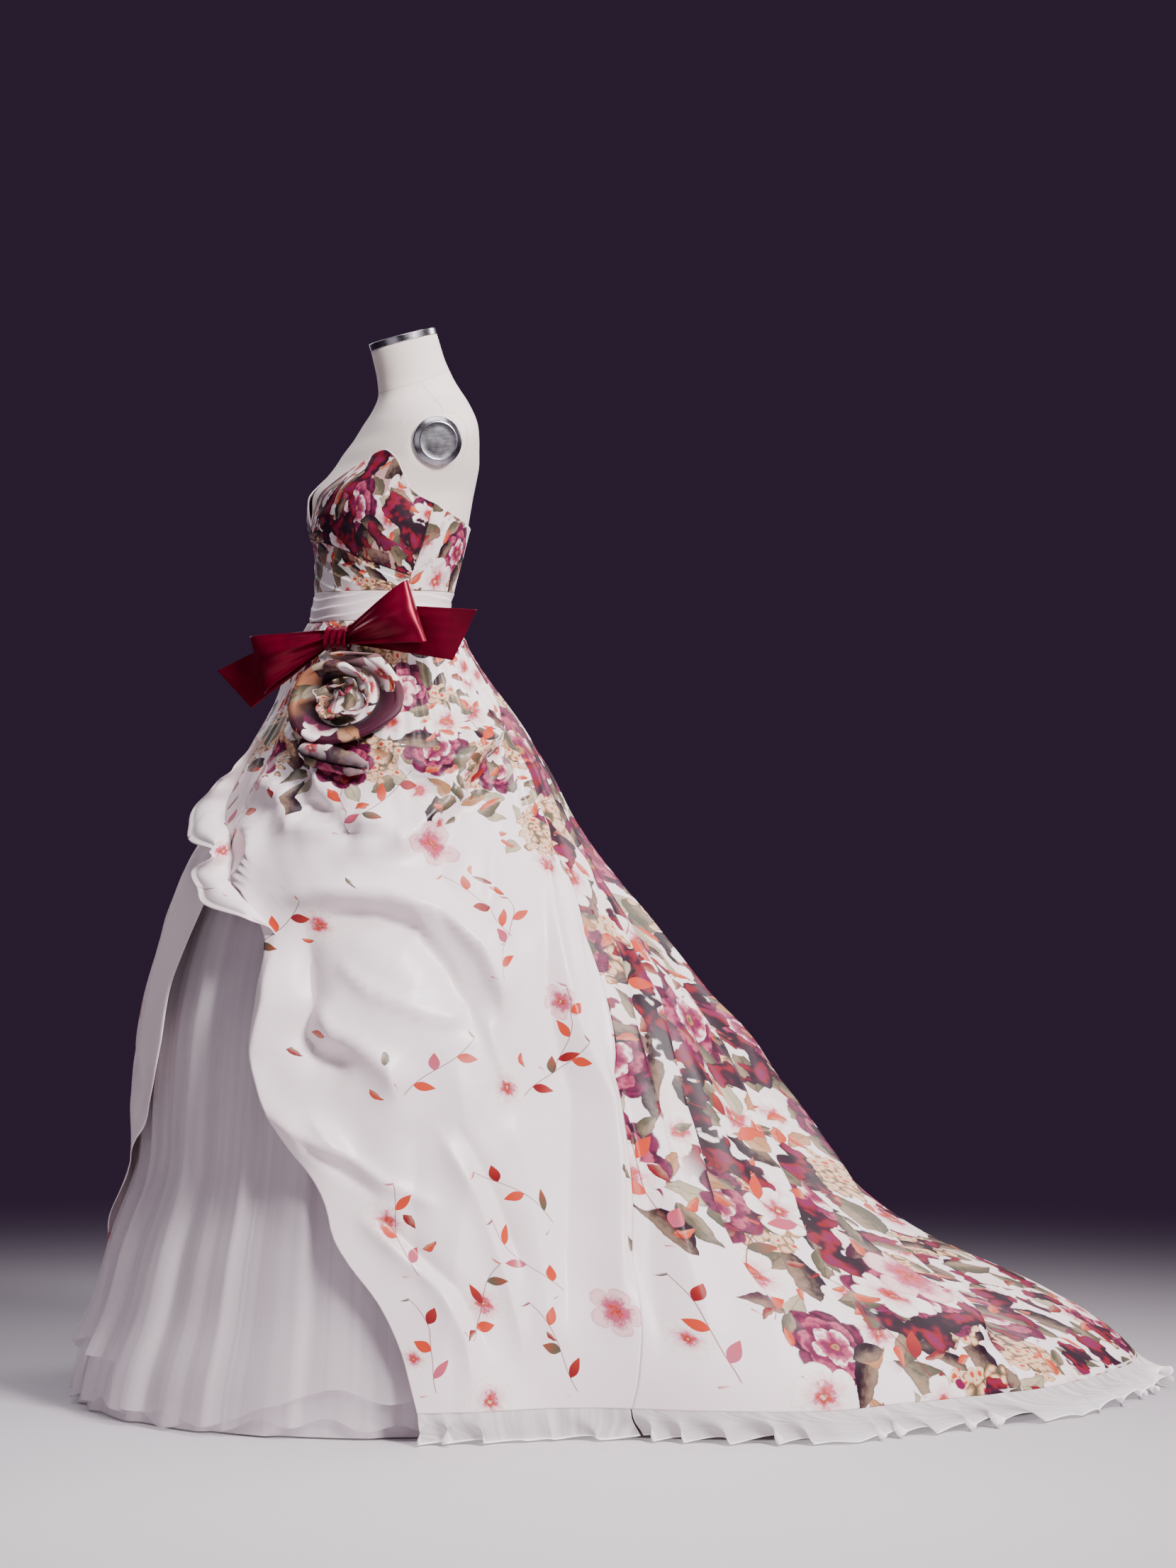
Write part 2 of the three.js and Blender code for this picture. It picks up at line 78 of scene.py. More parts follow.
def floorMaterial():
    # painted light: a pool of light painted pale on the floor in front of the gown, falling off into
    # the dark of the studio, where the floor glows with the backdrop colour
    mat = plainMaterial("studioFloor", studio["floor"], 0.75)
    tree = mat.node_tree
    shader = tree.nodes["Principled BSDF"]
    where = tree.nodes.new("ShaderNodeTexCoord")
    reach = tree.nodes.new("ShaderNodeVectorMath")
    reach.operation = "DISTANCE"
    reach.inputs[1].default_value = studio["paintedPoolAt"]
    tree.links.new(where.outputs["Object"], reach.inputs[0])
    fall = tree.nodes.new("ShaderNodeMapRange")
    fall.interpolation_type = "SMOOTHSTEP"
    for key, value in zip((1, 2, 3, 4), (*studio["paintedPoolReach"], 1.0, 0.0)):
        fall.inputs[key].default_value = value
    tree.links.new(reach.outputs["Value"], fall.inputs[0])
    lit = tree.nodes.new("ShaderNodeMath")
    lit.operation = "POWER"
    lit.inputs[1].default_value = studio["paintedPoolFall"]
    tree.links.new(fall.outputs[0], lit.inputs[0])
    # painted light: the base colour pales near the gown, and the far floor glows with the backdrop
    # colour
    for socket, dark, pale in (("Base Color", (0, 0, 0), studio["floor"]),
                               ("Emission Color", studio["backdrop"], (0, 0, 0))):
        blend = tree.nodes.new("ShaderNodeMix")
        blend.data_type = "RGBA"
        blend.inputs[6].default_value = (*dark, 1)
        blend.inputs[7].default_value = (*pale, 1)
        tree.links.new(lit.outputs[0], blend.inputs[0])
        tree.links.new(blend.outputs[2], shader.inputs[socket])
    shader.inputs["Emission Strength"].default_value = 1.0
    shader.inputs["Specular IOR Level"].default_value = 0.0
    return mat


def makeStudio():
    side = math.radians(studio["azimuth"])
    towards = Vector((math.sin(side), -math.cos(side), 0))
    right = Vector((math.cos(side), math.sin(side), 0))
    bpy.ops.object.camera_add(location=studio["camera"])
    camera = bpy.context.object
    camera.rotation_euler = (-towards).to_track_quat("-Z", "Y").to_euler()
    camera.data.lens = studio["lens"]
    camera.data.sensor_width = 36
    camera.data.clip_end = 60
    scene.camera = camera

    bpy.ops.mesh.primitive_circle_add(vertices=96, radius=studio["floorRadius"], fill_type="NGON")
    floor = bpy.context.object
    floor.name = "studioFloor"
    floor.data.materials.append(floorMaterial())

    for name, (near, across, up, size, power, colour) in lamps.items():
        place = towards * near + right * across + Vector((0, 0, up))
        bpy.ops.object.light_add(type="AREA", location=place)
        lamp = bpy.context.object
        lamp.name = name
        lamp.data.size = size
        lamp.data.energy = power
        lamp.data.color = colour
        aim = Vector(studio["lampsAim"]) - place
        lamp.rotation_euler = aim.to_track_quat("-Z", "Y").to_euler()
    world = bpy.data.worlds.new("studioWorld")
    world.use_nodes = True
    backdrop = world.node_tree.nodes["Background"]
    backdrop.inputs[0].default_value = (*studio["backdrop"], 1)
    backdrop.inputs[1].default_value = 1.0
    scene.world = world
    bpy.ops.object.select_all(action="DESELECT")


makeStudio()
print("studio ready")

# The body and the skirt. Angles run from the front towards the wearer's left.
heights = {"formLow": 930.0, "hem": 46.0, "hip": 1180.0, "waist": 1215.0, "bandTop": 1262.0,
           "formTop": 1660.0}
# each row: height, half width, half depth, middle from front to back
bodySections = np.array([
    (930, 160, 114, 5), (1020, 173, 126, 0), (1080, 166, 128, -2), (1150, 143, 119, -5),
    (1180, 131, 112, -6), (1215, 119, 105, -7), (1238, 117, 104, -8), (1262, 117, 105, -3),
    (1290, 121, 108, 1), (1327, 133, 113, 6), (1360, 142, 120, 7), (1394, 147, 124, 9),
    (1417, 150, 125, 12), (1439, 158, 119, 22), (1462, 168, 111, 33), (1484, 176, 103, 40),
    (1506, 178, 94, 48), (1529, 163, 86, 54), (1551, 123, 77, 58), (1573, 73, 69, 58),
    (1596, 54, 61, 49), (1618, 50, 55, 41), (1660, 48, 52, 29),
], float)
# each row: height, then the radius at the front, at the side and at the end of the train
overskirtRadius = np.array([
    (1215, 127, 133, 125), (1180, 136, 148, 126), (1150, 150, 165, 143), (1080, 177, 200, 196),
    (990, 230, 245, 250), (900, 278, 290, 287), (810, 323, 335, 336), (720, 355, 367, 400),
    (600, 385, 398, 488), (480, 396, 416, 578), (364, 403, 440, 690), (250, 450, 468, 845),
    (150, 490, 493, 1070), (80, 515, 515, 1190), (0, 538, 532, 1285),
], float)
tulleRadius = np.array([
    (1215, 123, 129, 121), (1180, 131, 143, 121), (1150, 144, 159, 136), (1080, 167, 190, 180),
    (990, 216, 230, 232), (900, 262, 272, 268), (810, 305, 315, 312), (720, 338, 348, 350),
    (600, 368, 376, 385), (480, 380, 394, 410), (364, 388, 415, 430), (250, 430, 440, 455),
    (150, 460, 462, 475), (80, 494, 484, 490), (0, 515, 500, 505),
], float)
# from angle to reach: the outline of the hem on the floor
hemReach = np.array([
    (0, 538), (60, 534), (90, 540), (113, 605), (127, 828), (139, 928), (148, 1040),
    (159, 1160), (170, 1245), (180, 1285),
], float)
# from angle to height, with the side seam at 100
necklineHeight = np.array([
    (0, 1367), (8, 1392), (16, 1415), (25, 1440), (35, 1466), (44, 1478), (55, 1468),
    (70, 1440), (85, 1412), (105, 1393), (130, 1375), (155, 1364), (180, 1360),
], float)
# from share of a cup's width to height
cupBase = np.array([
    (0, 1345), (0.2, 1337), (0.45, 1322), (0.7, 1303), (0.95, 1288), (1, 1286),
], float)
# from height to angle: the edges of the opening
leftEdge = np.array([
    (1215, 23.5), (850, 23.5), (780, 44), (720, 49), (570, 48), (460, 54), (357, 66),
    (274, 68), (235, 74), (150, 80), (0, 84),
], float)
rightEdge = np.array([
    (1215, 23.5), (790, 23), (670, 16), (570, 17), (470, 13), (400, 0), (350, -15),
    (200, -30), (0, -42),
], float)
# each row: angle at the floor, lean a metre, height, half width in degrees
trainRidges = np.array([
    (117, 24, 20, 4.5), (128, 34, 30, 5), (138, 44, 32, 5), (150, 30, 26, 5), (166, 10, 28, 6),
], float)
sideSigns = (("Left", 1), ("Right", -1))


def look(table, key, column=1, soft=True):
    # reads a table at any key, rounded between its rows unless soft is off
    rows = table[np.argsort(table[:, 0])]
    keys, values = rows[:, 0], rows[:, column]
    at = np.clip(np.asarray(key, float), keys[0], keys[-1])
    if not soft:
        return np.interp(at, keys, values)
    slope = np.gradient(values, keys)
    i = np.clip(np.searchsorted(keys, at, side="right") - 1, 0, len(keys) - 2)
    gap = keys[i + 1] - keys[i]
    t = (at - keys[i]) / gap
    return (values[i] * (2 * t ** 3 - 3 * t ** 2 + 1)
            + slope[i] * gap * (t ** 3 - 2 * t ** 2 + t)
            + values[i + 1] * (3 * t ** 2 - 2 * t ** 3)
            + slope[i + 1] * gap * (t ** 3 - t ** 2))


def smooth(t):
    t = np.clip(t, 0, 1)
    return t * t * (3 - 2 * t)


def mix(a, b, t):
    return a + (b - a) * t


def foldAngle(angle):
    return np.abs((np.asarray(angle, float) + 180) % 360 - 180)


def bump(value, centre, width):
    return np.exp(-((value - centre) / width) ** 2)


def wrinkle(x, y, seed=0.0):
    # smooth irregular waves between -1 and 1
    total = 0
    for k, (fx, fy) in enumerate(((1.0, 0.7), (-1.7, 1.3), (2.6, 2.1), (-3.9, 3.3))):
        phase = seed * (k + 1.3) + 1.7 * np.sin(0.6 * y - k)
        total = total + np.sin(fx * x + fy * y + phase) / (k + 1.4)
    return total / 1.9


def points(x, y, z):
    x, y, z = np.broadcast_arrays(x, y, z)
    return np.stack([x, y, z], axis=-1).astype(float)


def polar(angle, radius, z):
    turn = np.radians(angle)
    return points(radius * np.sin(turn), -radius * np.cos(turn), z)


def onBody(angle, z, off=0.0):
    a, b, yc = (look(bodySections, z, column) for column in (1, 2, 3))
    s, c = np.sin(np.radians(angle)), np.cos(np.radians(angle))
    nx, ny = s / a, -c / b
    size = np.hypot(nx, ny)
    return points(a * s + nx / size * off, yc - b * c + ny / size * off, z)


def trainShare(angle):
    # nought where the hem is round, one at the end of the train
    near, far = hemReach[0, 1], hemReach[-1, 1]
    return np.clip((look(hemReach, foldAngle(angle)) - near) / (far - near), 0, 1)


def radiusOf(table, angle, z):
    side = np.sin(np.radians(np.minimum(90, foldAngle(angle)))) ** 2
    front = mix(look(table, z, 1), look(table, z, 2), side)
    return mix(front, look(table, z, 3), trainShare(angle))


def joinAtWaist(low, high, z):
    # a skirt's surface up to the hip, the body's from the waist up
    share = np.clip((z - heights["hip"]) / (heights["waist"] - heights["hip"]), 0, 1)
    return mix(low, high, share[..., None])


def ridgeHeight(angle, z):
    low = smooth((1120 - z) / 700) * smooth(z / 130 + 0.12)
    a = foldAngle(angle)
    total = 0
    for floorAt, lean, height, half in trainRidges:
        centre = np.minimum(176, floorAt + lean * z / 1000)
        total = total + low * height * bump(a, centre, half)
    return total


def onSkirt(angle, z, off=0.0):
    angle, z = np.asarray(angle, float), np.asarray(z, float)
    low = polar(angle, radiusOf(overskirtRadius, angle, np.minimum(z, heights["hip"]))
                + ridgeHeight(angle, z) + off, z)
    return joinAtWaist(low, onBody(angle, z, 8.5 + off), z)


def trainSeam(z):
    # the angle of the seam at a height, as in the two below
    return 113 + 26 * z / 1000


def backSeam(z):
    return 148 + 14 * z / 1000


def sideSeam(z):
    return 95 + (z - 1270) * 0.086


def clothGrid(name, across, down, place, ring=False, evenMap=False):
    # a flat grid shaped by place(u, v) in millimetres, v from the lower edge up, with a map in metres
    # evenMap keeps the map's lines along the columns, as for pleats
    bpy.ops.object.select_all(action="DESELECT")
    bpy.ops.mesh.primitive_grid_add(x_subdivisions=across, y_subdivisions=down, size=1)
    piece = bpy.context.object
    piece.name = name
    mesh = piece.data
    mesh.name = name
    co = np.zeros(len(mesh.vertices) * 3, np.float32)
    mesh.vertices.foreach_get("co", co)
    co = co.reshape(-1, 3)
    u, v = np.clip(co[:, 0] + 0.5, 0, 1), np.clip(co[:, 1] + 0.5, 0, 1)
    col, row = np.rint(u * across).astype(int), np.rint(v * down).astype(int)
    us, vs = np.linspace(0, 1, across + 1), np.linspace(0, 1, down + 1)
    gridU, gridV = np.meshgrid(us, vs)
    shape = place(gridU, gridV) / 1000.0
    if ring:
        shape[:, -1] = shape[:, 0]
    mesh.vertices.foreach_set("co", shape[row, col].astype(np.float32).ravel())
    step = np.linalg.norm(np.diff(shape, axis=1), axis=2)
    along = np.concatenate([np.zeros((down + 1, 1)), np.cumsum(step, axis=1)], axis=1)
    along -= along[:, across // 2][:, None]
    rise = np.linalg.norm(np.diff(shape, axis=0), axis=2).mean(axis=1)
    high = np.concatenate([[0], np.cumsum(rise)])
    if evenMap:
        along[:] = us * step.sum(axis=1).mean()
    index = np.zeros(len(mesh.loops), np.int32)
    mesh.loops.foreach_get("vertex_index", index)
    flat = np.stack([along[row, col], high[row]], axis=1)[index]
    mesh.uv_layers.active.data.foreach_set("uv", flat.astype(np.float32).ravel())
    if ring:
        edit = bmesh.new()
        edit.from_mesh(mesh)
        bmesh.ops.remove_doubles(edit, verts=edit.verts, dist=1e-6)
        edit.to_mesh(mesh)
        edit.free()
    mesh.update()
    piece["clothArea"] = float(sum(face.area for face in mesh.polygons))
    piece["clothSize"] = [float(step.sum(axis=1).max()), float(high[-1])]
    for face in mesh.polygons:
        face.use_smooth = True
    return piece


def thicken(piece, millimetres, offset=-1.0):
    bpy.context.view_layer.objects.active = piece
    piece.select_set(True)
    wall = piece.modifiers.new("wall", "SOLIDIFY")
    wall.thickness = millimetres / 1000.0
    wall.offset = offset
    wall.use_even_offset = False
    bpy.ops.object.modifier_apply(modifier="wall")
    piece.select_set(False)


def finishPiece(piece, material, node):
    piece.data.materials.clear()
    piece.data.materials.append(material)
    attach(piece, "root")
    if node:
        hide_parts(node)


def finishCloth(piece, material, node):
    # hands the piece to finishPiece; its flat size was measured on the grid before it got its
    # thickness
    finishPiece(piece, material, node)


def creases(angle, z, lines):
    # soft ridges and troughs along given lines of (angle, height), fading at their ends
    around = np.radians(angle) * look(overskirtRadius, z, 2)
    total = np.zeros(np.broadcast(around, z).shape)
    for width, height, line in lines:
        nearest = np.full(total.shape, 1e9)
        share = np.zeros(total.shape)
        knots = [(math.radians(a) * float(look(overskirtRadius, h, 2)), h) for a, h in line]
        count = len(knots) - 1
        for k in range(count):
            (x0, y0), (x1, y1) = knots[k], knots[k + 1]
            dx, dy = x1 - x0, y1 - y0
            t = np.clip(((around - x0) * dx + (z - y0) * dy) / (dx * dx + dy * dy), 0, 1)
            gap = np.hypot(around - x0 - t * dx, z - y0 - t * dy)
            closer = gap < nearest
            nearest = np.where(closer, gap, nearest)
            share = np.where(closer, (k + t) / count, share)
        fade = smooth(share * 5 + 0.25) * smooth((1 - share) * 5 + 0.25)
        total = total + height * fade * np.exp(-(nearest / width) ** skirt["creaseSharpness"])
    return total


form = {"across": 96, "down": 150, "armFlat": 164.0, "armLow": 1430, "armTop": 1552,
        "neckTilt": 15.5, "neckLow": 1573, "capPlace": (0, 28.9, 1660.4),
        "capScale": (0.98, 1.08, 1), "platePlace": (164.3, 45, 1491), "seam": 0.45,
        "hardEdge": 28}


def formSurface(angle, z, off=0.0):
    p = onBody(angle, z, off)
    flat = form["armFlat"]
    near = smooth((z - form["armLow"]) / 20) * smooth((form["armTop"] - z) / 20)
    p[..., 0] = mix(p[..., 0], np.clip(p[..., 0], -flat, flat), near)
    yc = look(bodySections, z, 3)
    p[..., 2] += ((p[..., 1] - yc) * math.tan(math.radians(form["neckTilt"]))
                  * smooth((z - form["neckLow"]) / 70))
    return p


def makeForm():
    def place(u, v):
        return formSurface(360 * u, mix(heights["formLow"], heights["formTop"], v))
    torso = clothGrid("formTorso", form["across"], form["down"], place, ring=True)
    edit = bmesh.new()
    edit.from_mesh(torso.data)
    rims = [edge for edge in edit.edges if edge.is_boundary]
    bmesh.ops.holes_fill(edit, edges=rims, sides=0)
    bmesh.ops.recalc_face_normals(edit, faces=edit.faces)
    edit.to_mesh(torso.data)
    edit.free()
    return torso


def tube(name, path, radius, sides=8):
    # a thin cord along a path of points in millimetres
    path = np.asarray(path, float)
    steps = len(path) - 1
    ahead = np.gradient(path, axis=0)
    ahead /= np.linalg.norm(ahead, axis=1)[:, None]
    outward = path * np.array([1, 1, 0]) + 1e-6
    outward -= (outward * ahead).sum(axis=1)[:, None] * ahead
    outward /= np.linalg.norm(outward, axis=1)[:, None]
    beside = np.cross(ahead, outward)

    def place(u, v):
        k = np.rint(v * steps).astype(int)
        turn = (2 * np.pi * u)[..., None]
        return path[k] + radius * (np.cos(turn) * outward[k] + np.sin(turn) * beside[k])
    return clothGrid(name, sides, steps, place, ring=True)


def chain(knots, count):
    # evenly spaced points along a smoothed line of (angle, height)
    knots = np.asarray(knots, float)
    keys = np.linspace(0, 1, len(knots))
    at = np.linspace(0, 1, count)
    rows = [look(np.stack([keys, knots[:, c]], axis=1), at) for c in (0, 1)]
    return rows[0], rows[1]


# seams of the cover that both sides have: over the shoulder, in front of the arm and behind it
pairedSeams = [
    [(84, 1594), (88, 1572), (91, 1552), (92, 1538)],
    [(62, 1548), (52, 1520), (45, 1490), (43, 1460), (42, 1430)],
    [(92, 1540), (104, 1536), (116, 1520), (122, 1490), (118, 1450), (108, 1420), (98, 1400)],
]
formSeams = [
    [(a, 1596 - 16 * math.cos(math.radians(a))) for a in range(-180, 181, 12)],
    *[[(sign * a, z) for a, z in line] for line in pairedSeams for sign in (1, -1)],
    [(180, 1580), (180, 1500), (180, 1420), (180, 1366)],
]


def makeFormSeams():
    made = []
    for k, knots in enumerate(formSeams):
        angle, z = chain(knots, 90)
        path = formSurface(angle, z, 0.05)
        made.append(tube("formSeam" + str(k + 1), path, form["seam"], 6))
    return made


def lathe(name, profile, across=96):
    # a turned piece from (radius, height) pairs
    profile = np.asarray(profile, float)

    def place(u, v):
        k = np.rint(v * (len(profile) - 1)).astype(int)
        return polar(360 * u, profile[k, 0], profile[k, 1])
    piece = clothGrid(name, across, len(profile) - 1, place, ring=True)
    bpy.ops.object.select_all(action="DESELECT")
    bpy.context.view_layer.objects.active = piece
    piece.select_set(True)
    bpy.ops.object.shade_smooth_by_angle(angle=math.radians(form["hardEdge"]))
    piece.select_set(False)
    return piece


def moved(piece, turnX, turnY, place, scale=(1, 1, 1)):
    # turns and moves the mesh itself, so that its origin stays on the floor
    a, b = math.radians(turnX), math.radians(turnY)
    for vertex in piece.data.vertices:
        x, y, z = (c * k for c, k in zip(vertex.co, scale))
        y, z = y * math.cos(a) - z * math.sin(a), y * math.sin(a) + z * math.cos(a)
        x, z = x * math.cos(b) + z * math.sin(b), -x * math.sin(b) + z * math.cos(b)
        vertex.co = (x + place[0] / 1000, y + place[1] / 1000, z + place[2] / 1000)
    piece.data.update()
    return piece


capProfile = [(0.01, 0.0), (50.0, 0.0), (50.5, 0.5), (50.5, 9.6), (50.1, 10.3), (49.4, 10.6),
              (46.2, 10.6), (45.6, 10.2), (45.2, 9.5), (30.0, 9.5), (0.01, 9.5)]
plateProfile = [(0.01, 0.0), (38.5, 0.0), (38.5, 4.2), (38.0, 5.4), (37.2, 6.4), (31.0, 9.4),
                (30.2, 9.8), (29.5, 9.9), (28.9, 9.5), (28.4, 9.35), (20.0, 9.75),
                (10.0, 9.95), (0.01, 10.0)]
baseProfile = [(0.01, 0.0), (170.5, 0.0), (172.0, 1.5), (172.0, 9.5), (171.0, 11.6), (168.0, 12.6),
               (120.0, 13.0), (28.5, 13.0), (27.2, 13.6), (27.0, 15.0), (25.2, 60.5), (24.6, 62.2),
               (22.8, 63.0), (13.4, 63.0)]
poleProfile = [(0.01, 13.3), (13, 13.3), (13, 929.7), (0.01, 929.7)]


def makeHardware():
    made = {"form_neck_cap": moved(lathe("neckCap", capProfile), form["neckTilt"], 0,
                                   form["capPlace"], form["capScale"])}
    aside, back, up = form["platePlace"]
    for side, sign in sideSigns:
        plate = lathe("armPlate" + side, plateProfile)
        made["form_arm_plate_" + side.lower()] = moved(plate, 0, 90 * sign, (sign * aside, back, up))
    made["stand_base"] = lathe("standBase", baseProfile, 128)
    made["stand_pole"] = lathe("standPole", poleProfile, 48)
    return made


bodice = {"seamGap": 0.28, "wall": 1.6, "low": 1262.6, "cupOff": 5.7, "cupFull": 6, "cupFan": 5,
          "backOff": 4.2, "pleats": 3, "pleatDepth": 2.6, "slant": 2.2, "midriffOff": 4.0}
band = {"low": 1215.5, "pleats": 2.6, "pleatDepth": 1.7, "lowOff": 7.6, "topOff": 3.8}
piping = {"points": 140, "cup": 1.1, "back": 0.9}


def cupAngle(z, share):
    return mix(bodice["seamGap"], sideSeam(z) - bodice["seamGap"], share)


def backAngle(z, share):
    return mix(sideSeam(z) + bodice["seamGap"], 180 - bodice["seamGap"], share)


def makeBodice():
    made = {}
    for side, sign in sideSigns:
        def cup(u, v, sign=sign):
            share = u if sign > 0 else 1 - u
            z = mix(look(cupBase, share) + 0.3, look(necklineHeight, share * 100), v)
            full = np.sin(np.pi * share) ** 0.7 * np.sin(np.pi * v)
            fan = v * bodice["cupFan"] + share * 2.2
            pleat = 1.5 * np.cos(2 * np.pi * fan) * (1 - v) ** 1.5 * np.sin(np.pi * share) ** 0.5
            rise = 1.2 * bump(v, 1, 0.03)
            off = (bodice["cupOff"] + bodice["cupFull"] * full + pleat * np.sin(np.pi * v)
                   + rise)
            return onBody(sign * cupAngle(z, share), z, off)
        made["cup" + side] = clothGrid("bodiceCup" + side, 84, 64, cup)

        def back(u, v, sign=sign):
            share = u if sign > 0 else 1 - u
            z = mix(bodice["low"], look(necklineHeight, mix(100, 180, share)), v)
            drag = 0.5 * np.sin(9 * v + 5 * share) * np.sin(np.pi * share)
            off = bodice["backOff"] + drag * np.sin(np.pi * v) + bump(v, 1, 0.03)
            return onBody(sign * backAngle(z, share), z, off)
        made["back" + side] = clothGrid("bodiceBack" + side, 56, 44, back)

    def midriff(u, v):
        reach = 2 * u - 1
        share = np.abs(reach)
        z = mix(bodice["low"], look(cupBase, share) - 0.3, v)
        angle = reach * (sideSeam(z) - bodice["seamGap"])
        step = (v * bodice["pleats"] + bodice["slant"] * share) % 1.0
        pleat = bodice["pleatDepth"] * step ** 1.5 * smooth((1 - step) * 7) * (1 - 0.45 * share)
        return onBody(angle, z, bodice["midriffOff"] + pleat)
    made["midriff"] = clothGrid("bodiceMidriff", 150, 72, midriff)

    def wrap(u, v):
        z = mix(band["low"], heights["bandTop"], v)
        turn = np.radians(360 * u)
        step = (v * (band["pleats"] + 0.5 * np.sin(turn + 0.8)) + 0.6 * np.sin(turn * 2 + 1.2)
                + 0.06 * np.sin(turn * 9)) % 1.0
        depth = band["pleatDepth"] + 0.6 * np.sin(turn * 3)
        pleat = depth * step ** 1.4 * smooth((1 - step) * 6)
        return onBody(360 * u, z, mix(band["lowOff"], band["topOff"], smooth(v * 1.4)) + pleat)
    made["band"] = clothGrid("waistBand", 180, 36, wrap, ring=True)
    for piece in made.values():
        thicken(piece, bodice["wall"])
    return made


def makePiping():
    # a thin cord along the top edge of each cup and back panel
    made = {}
    share = np.linspace(0, 1, piping["points"])
    for side, sign in sideSigns:
        z = look(necklineHeight, share * 100)
        edge = onBody(sign * cupAngle(z, share), z + 0.4, 6.0)
        made["cup" + side] = tube("cupPiping" + side, edge, piping["cup"])
        z = look(necklineHeight, mix(100, 180, share))
        edge = onBody(sign * backAngle(z, share), z + 0.3, 4.2)
        made["back" + side] = tube("backPiping" + side, edge, piping["back"])
    return made


skirt = {"wall": 1.4, "rows": 160, "gathers": 62, "gatherDepth": 1.7, "swag": 1.22,
         "creaseSharpness": 1.4, "seamGap": 0.03}
# each crease: half width, height (below nought for a trough), line of (angle, height from the floor)
nearPanelCreases = [
    (22, 25, [(50, 792), (66, 801), (78, 797), (88, 783), (94, 755), (100, 718), (103, 663),
              (104, 600)]),
    (24, -20, [(58, 765), (76, 763), (86, 742), (92, 698), (97, 640), (99, 590)]),
    (27, 22, [(51, 735), (51, 636), (49, 545), (53, 477), (62, 434), (71, 410)]),
    (22, -19, [(58, 745), (61, 637), (59, 587), (63, 556), (71, 545)]),
    (18, 14, [(61, 640), (66, 593), (73, 570), (78, 540), (80, 500)]),
    (28, 17, [(121, 1048), (101, 962), (89, 906), (80, 874), (66, 865)]),
    (22, -13, [(112, 985), (106, 944), (97, 874), (92, 824), (98, 773)]),
    (15, 17, [(24, 905), (33, 890), (37, 860), (35, 825), (31, 799), (40, 776), (48, 731)]),
    (16, 16, [(24, 955), (30, 969), (41, 945), (48, 903), (58, 896), (68, 903), (80, 930)]),
    (14, -14, [(24, 1029), (43, 995), (50, 959)]),
    (12, 12, [(26, 1048), (40, 1022), (52, 985), (60, 950)]),
    (12, -12, [(40, 930), (52, 930), (62, 905), (70, 880)]),
    (10, 10, [(62, 960), (72, 925), (80, 895), (84, 868)]),
    (26, 27, [(131, 1064), (119, 1035), (105, 1010), (92, 1000)]),
    (18, -8, [(50, 925), (60, 925), (75, 960)]),
    (10, -15, [(138, 1070), (134, 1019), (133, 962), (131, 879)]),
    (40, 10, [(92, 560), (94, 400), (90, 250), (87, 120)]),
    (36, -8, [(84, 470), (83, 330), (84, 200)]),
    (30, 9, [(104, 480), (106, 300), (105, 120)]),
    (17, 18, [(137.0, 1030), (133.4, 900), (123.0, 500), (113.0, 110)]),
    (12, -8, [(131.5, 1000), (127.5, 850), (117.5, 500), (108.5, 160)]),
    (9, 8, [(72, 1040), (84, 1000), (98, 960), (110, 935)]),
    (8, -7, [(72, 1020), (84, 980), (97, 940)]),
    (9, 9, [(50, 1000), (56, 950), (66, 912), (79, 893)]),
    (8, 7, [(84, 905), (96, 930), (112, 962), (128, 985)]),
    (9, -8, [(88, 880), (100, 905), (114, 935)]),
    (9, 6, [(62, 470), (68, 425), (78, 372), (88, 338)]),
    (9, -6, [(60, 440), (67, 398), (77, 350)]),
    (12, 8, [(72, 330), (79, 282), (87, 222), (91, 150), (92, 80)]),
    (10, -7, [(76, 330), (83, 278), (91, 215), (95, 140)]),
    (13, 8, [(88, 452), (95, 350), (99, 240), (101, 120)]),
    (10, -6, [(92, 460), (99, 355), (103, 245)]),
    (8, 6, [(84, 780), (94, 690), (100, 600), (104, 500)]),
    (8, -6, [(88, 790), (98, 700), (104, 605)]),
    (8, 6, [(112, 900), (106, 800), (100, 730)]),
    (9, 7, [(66, 700), (74, 655), (86, 622), (97, 610)]),
]
trainCreases = [
    (10, -17, [(142.6, 1090), (139.6, 960), (138.2, 900)]),
    (11, -20, [(139.5, 960), (137.8, 900), (127.4, 500), (117.2, 110)]),
    (17, 26, [(131, 1010), (132, 902), (127, 730), (121, 560), (117, 330), (115, 120)]),
    (15, -30, [(135, 1010), (136, 902), (131, 730), (124.6, 560), (120.4, 330), (118.3, 120)]),
    (20, 34, [(147, 900), (146, 800), (143, 640), (137, 480), (131, 300), (127, 120)]),
    (16, -38, [(151, 900), (150, 800), (147, 640), (141.4, 480), (135.2, 300), (130.8, 120)]),
    (22, 36, [(160, 700), (157, 560), (150, 420), (143, 280), (137, 120)]),
    (17, -38, [(164.6, 700), (161.6, 560), (154.4, 420), (146.9, 280), (140.4, 120)]),
    (24, 34, [(172, 640), (168, 470), (160, 330), (152, 200), (147, 100)]),
    (18, -36, [(176.6, 640), (172.6, 470), (164.4, 330), (156, 200), (150.6, 100)]),
    (12, 12, [(139, 900), (137, 700), (132, 520), (126, 330), (121, 120)]),
]
farPanelCreases = [
    (34, 12, [(-30, 980), (-26, 700), (-22, 500)]), (30, -10, [(-14, 940), (-8, 700), (-4, 520)]),
    (30, 12, [(4, 900), (6, 700), (4, 500)]), (34, 12, [(-70, 900), (-74, 500), (-76, 140)]),
    (30, -10, [(-56, 880), (-58, 500), (-60, 160)]),
    (30, 12, [(-104, 800), (-104, 450), (-103, 130)]),
    (26, -10, [(-92, 820), (-92, 450), (-91, 130)]),
]
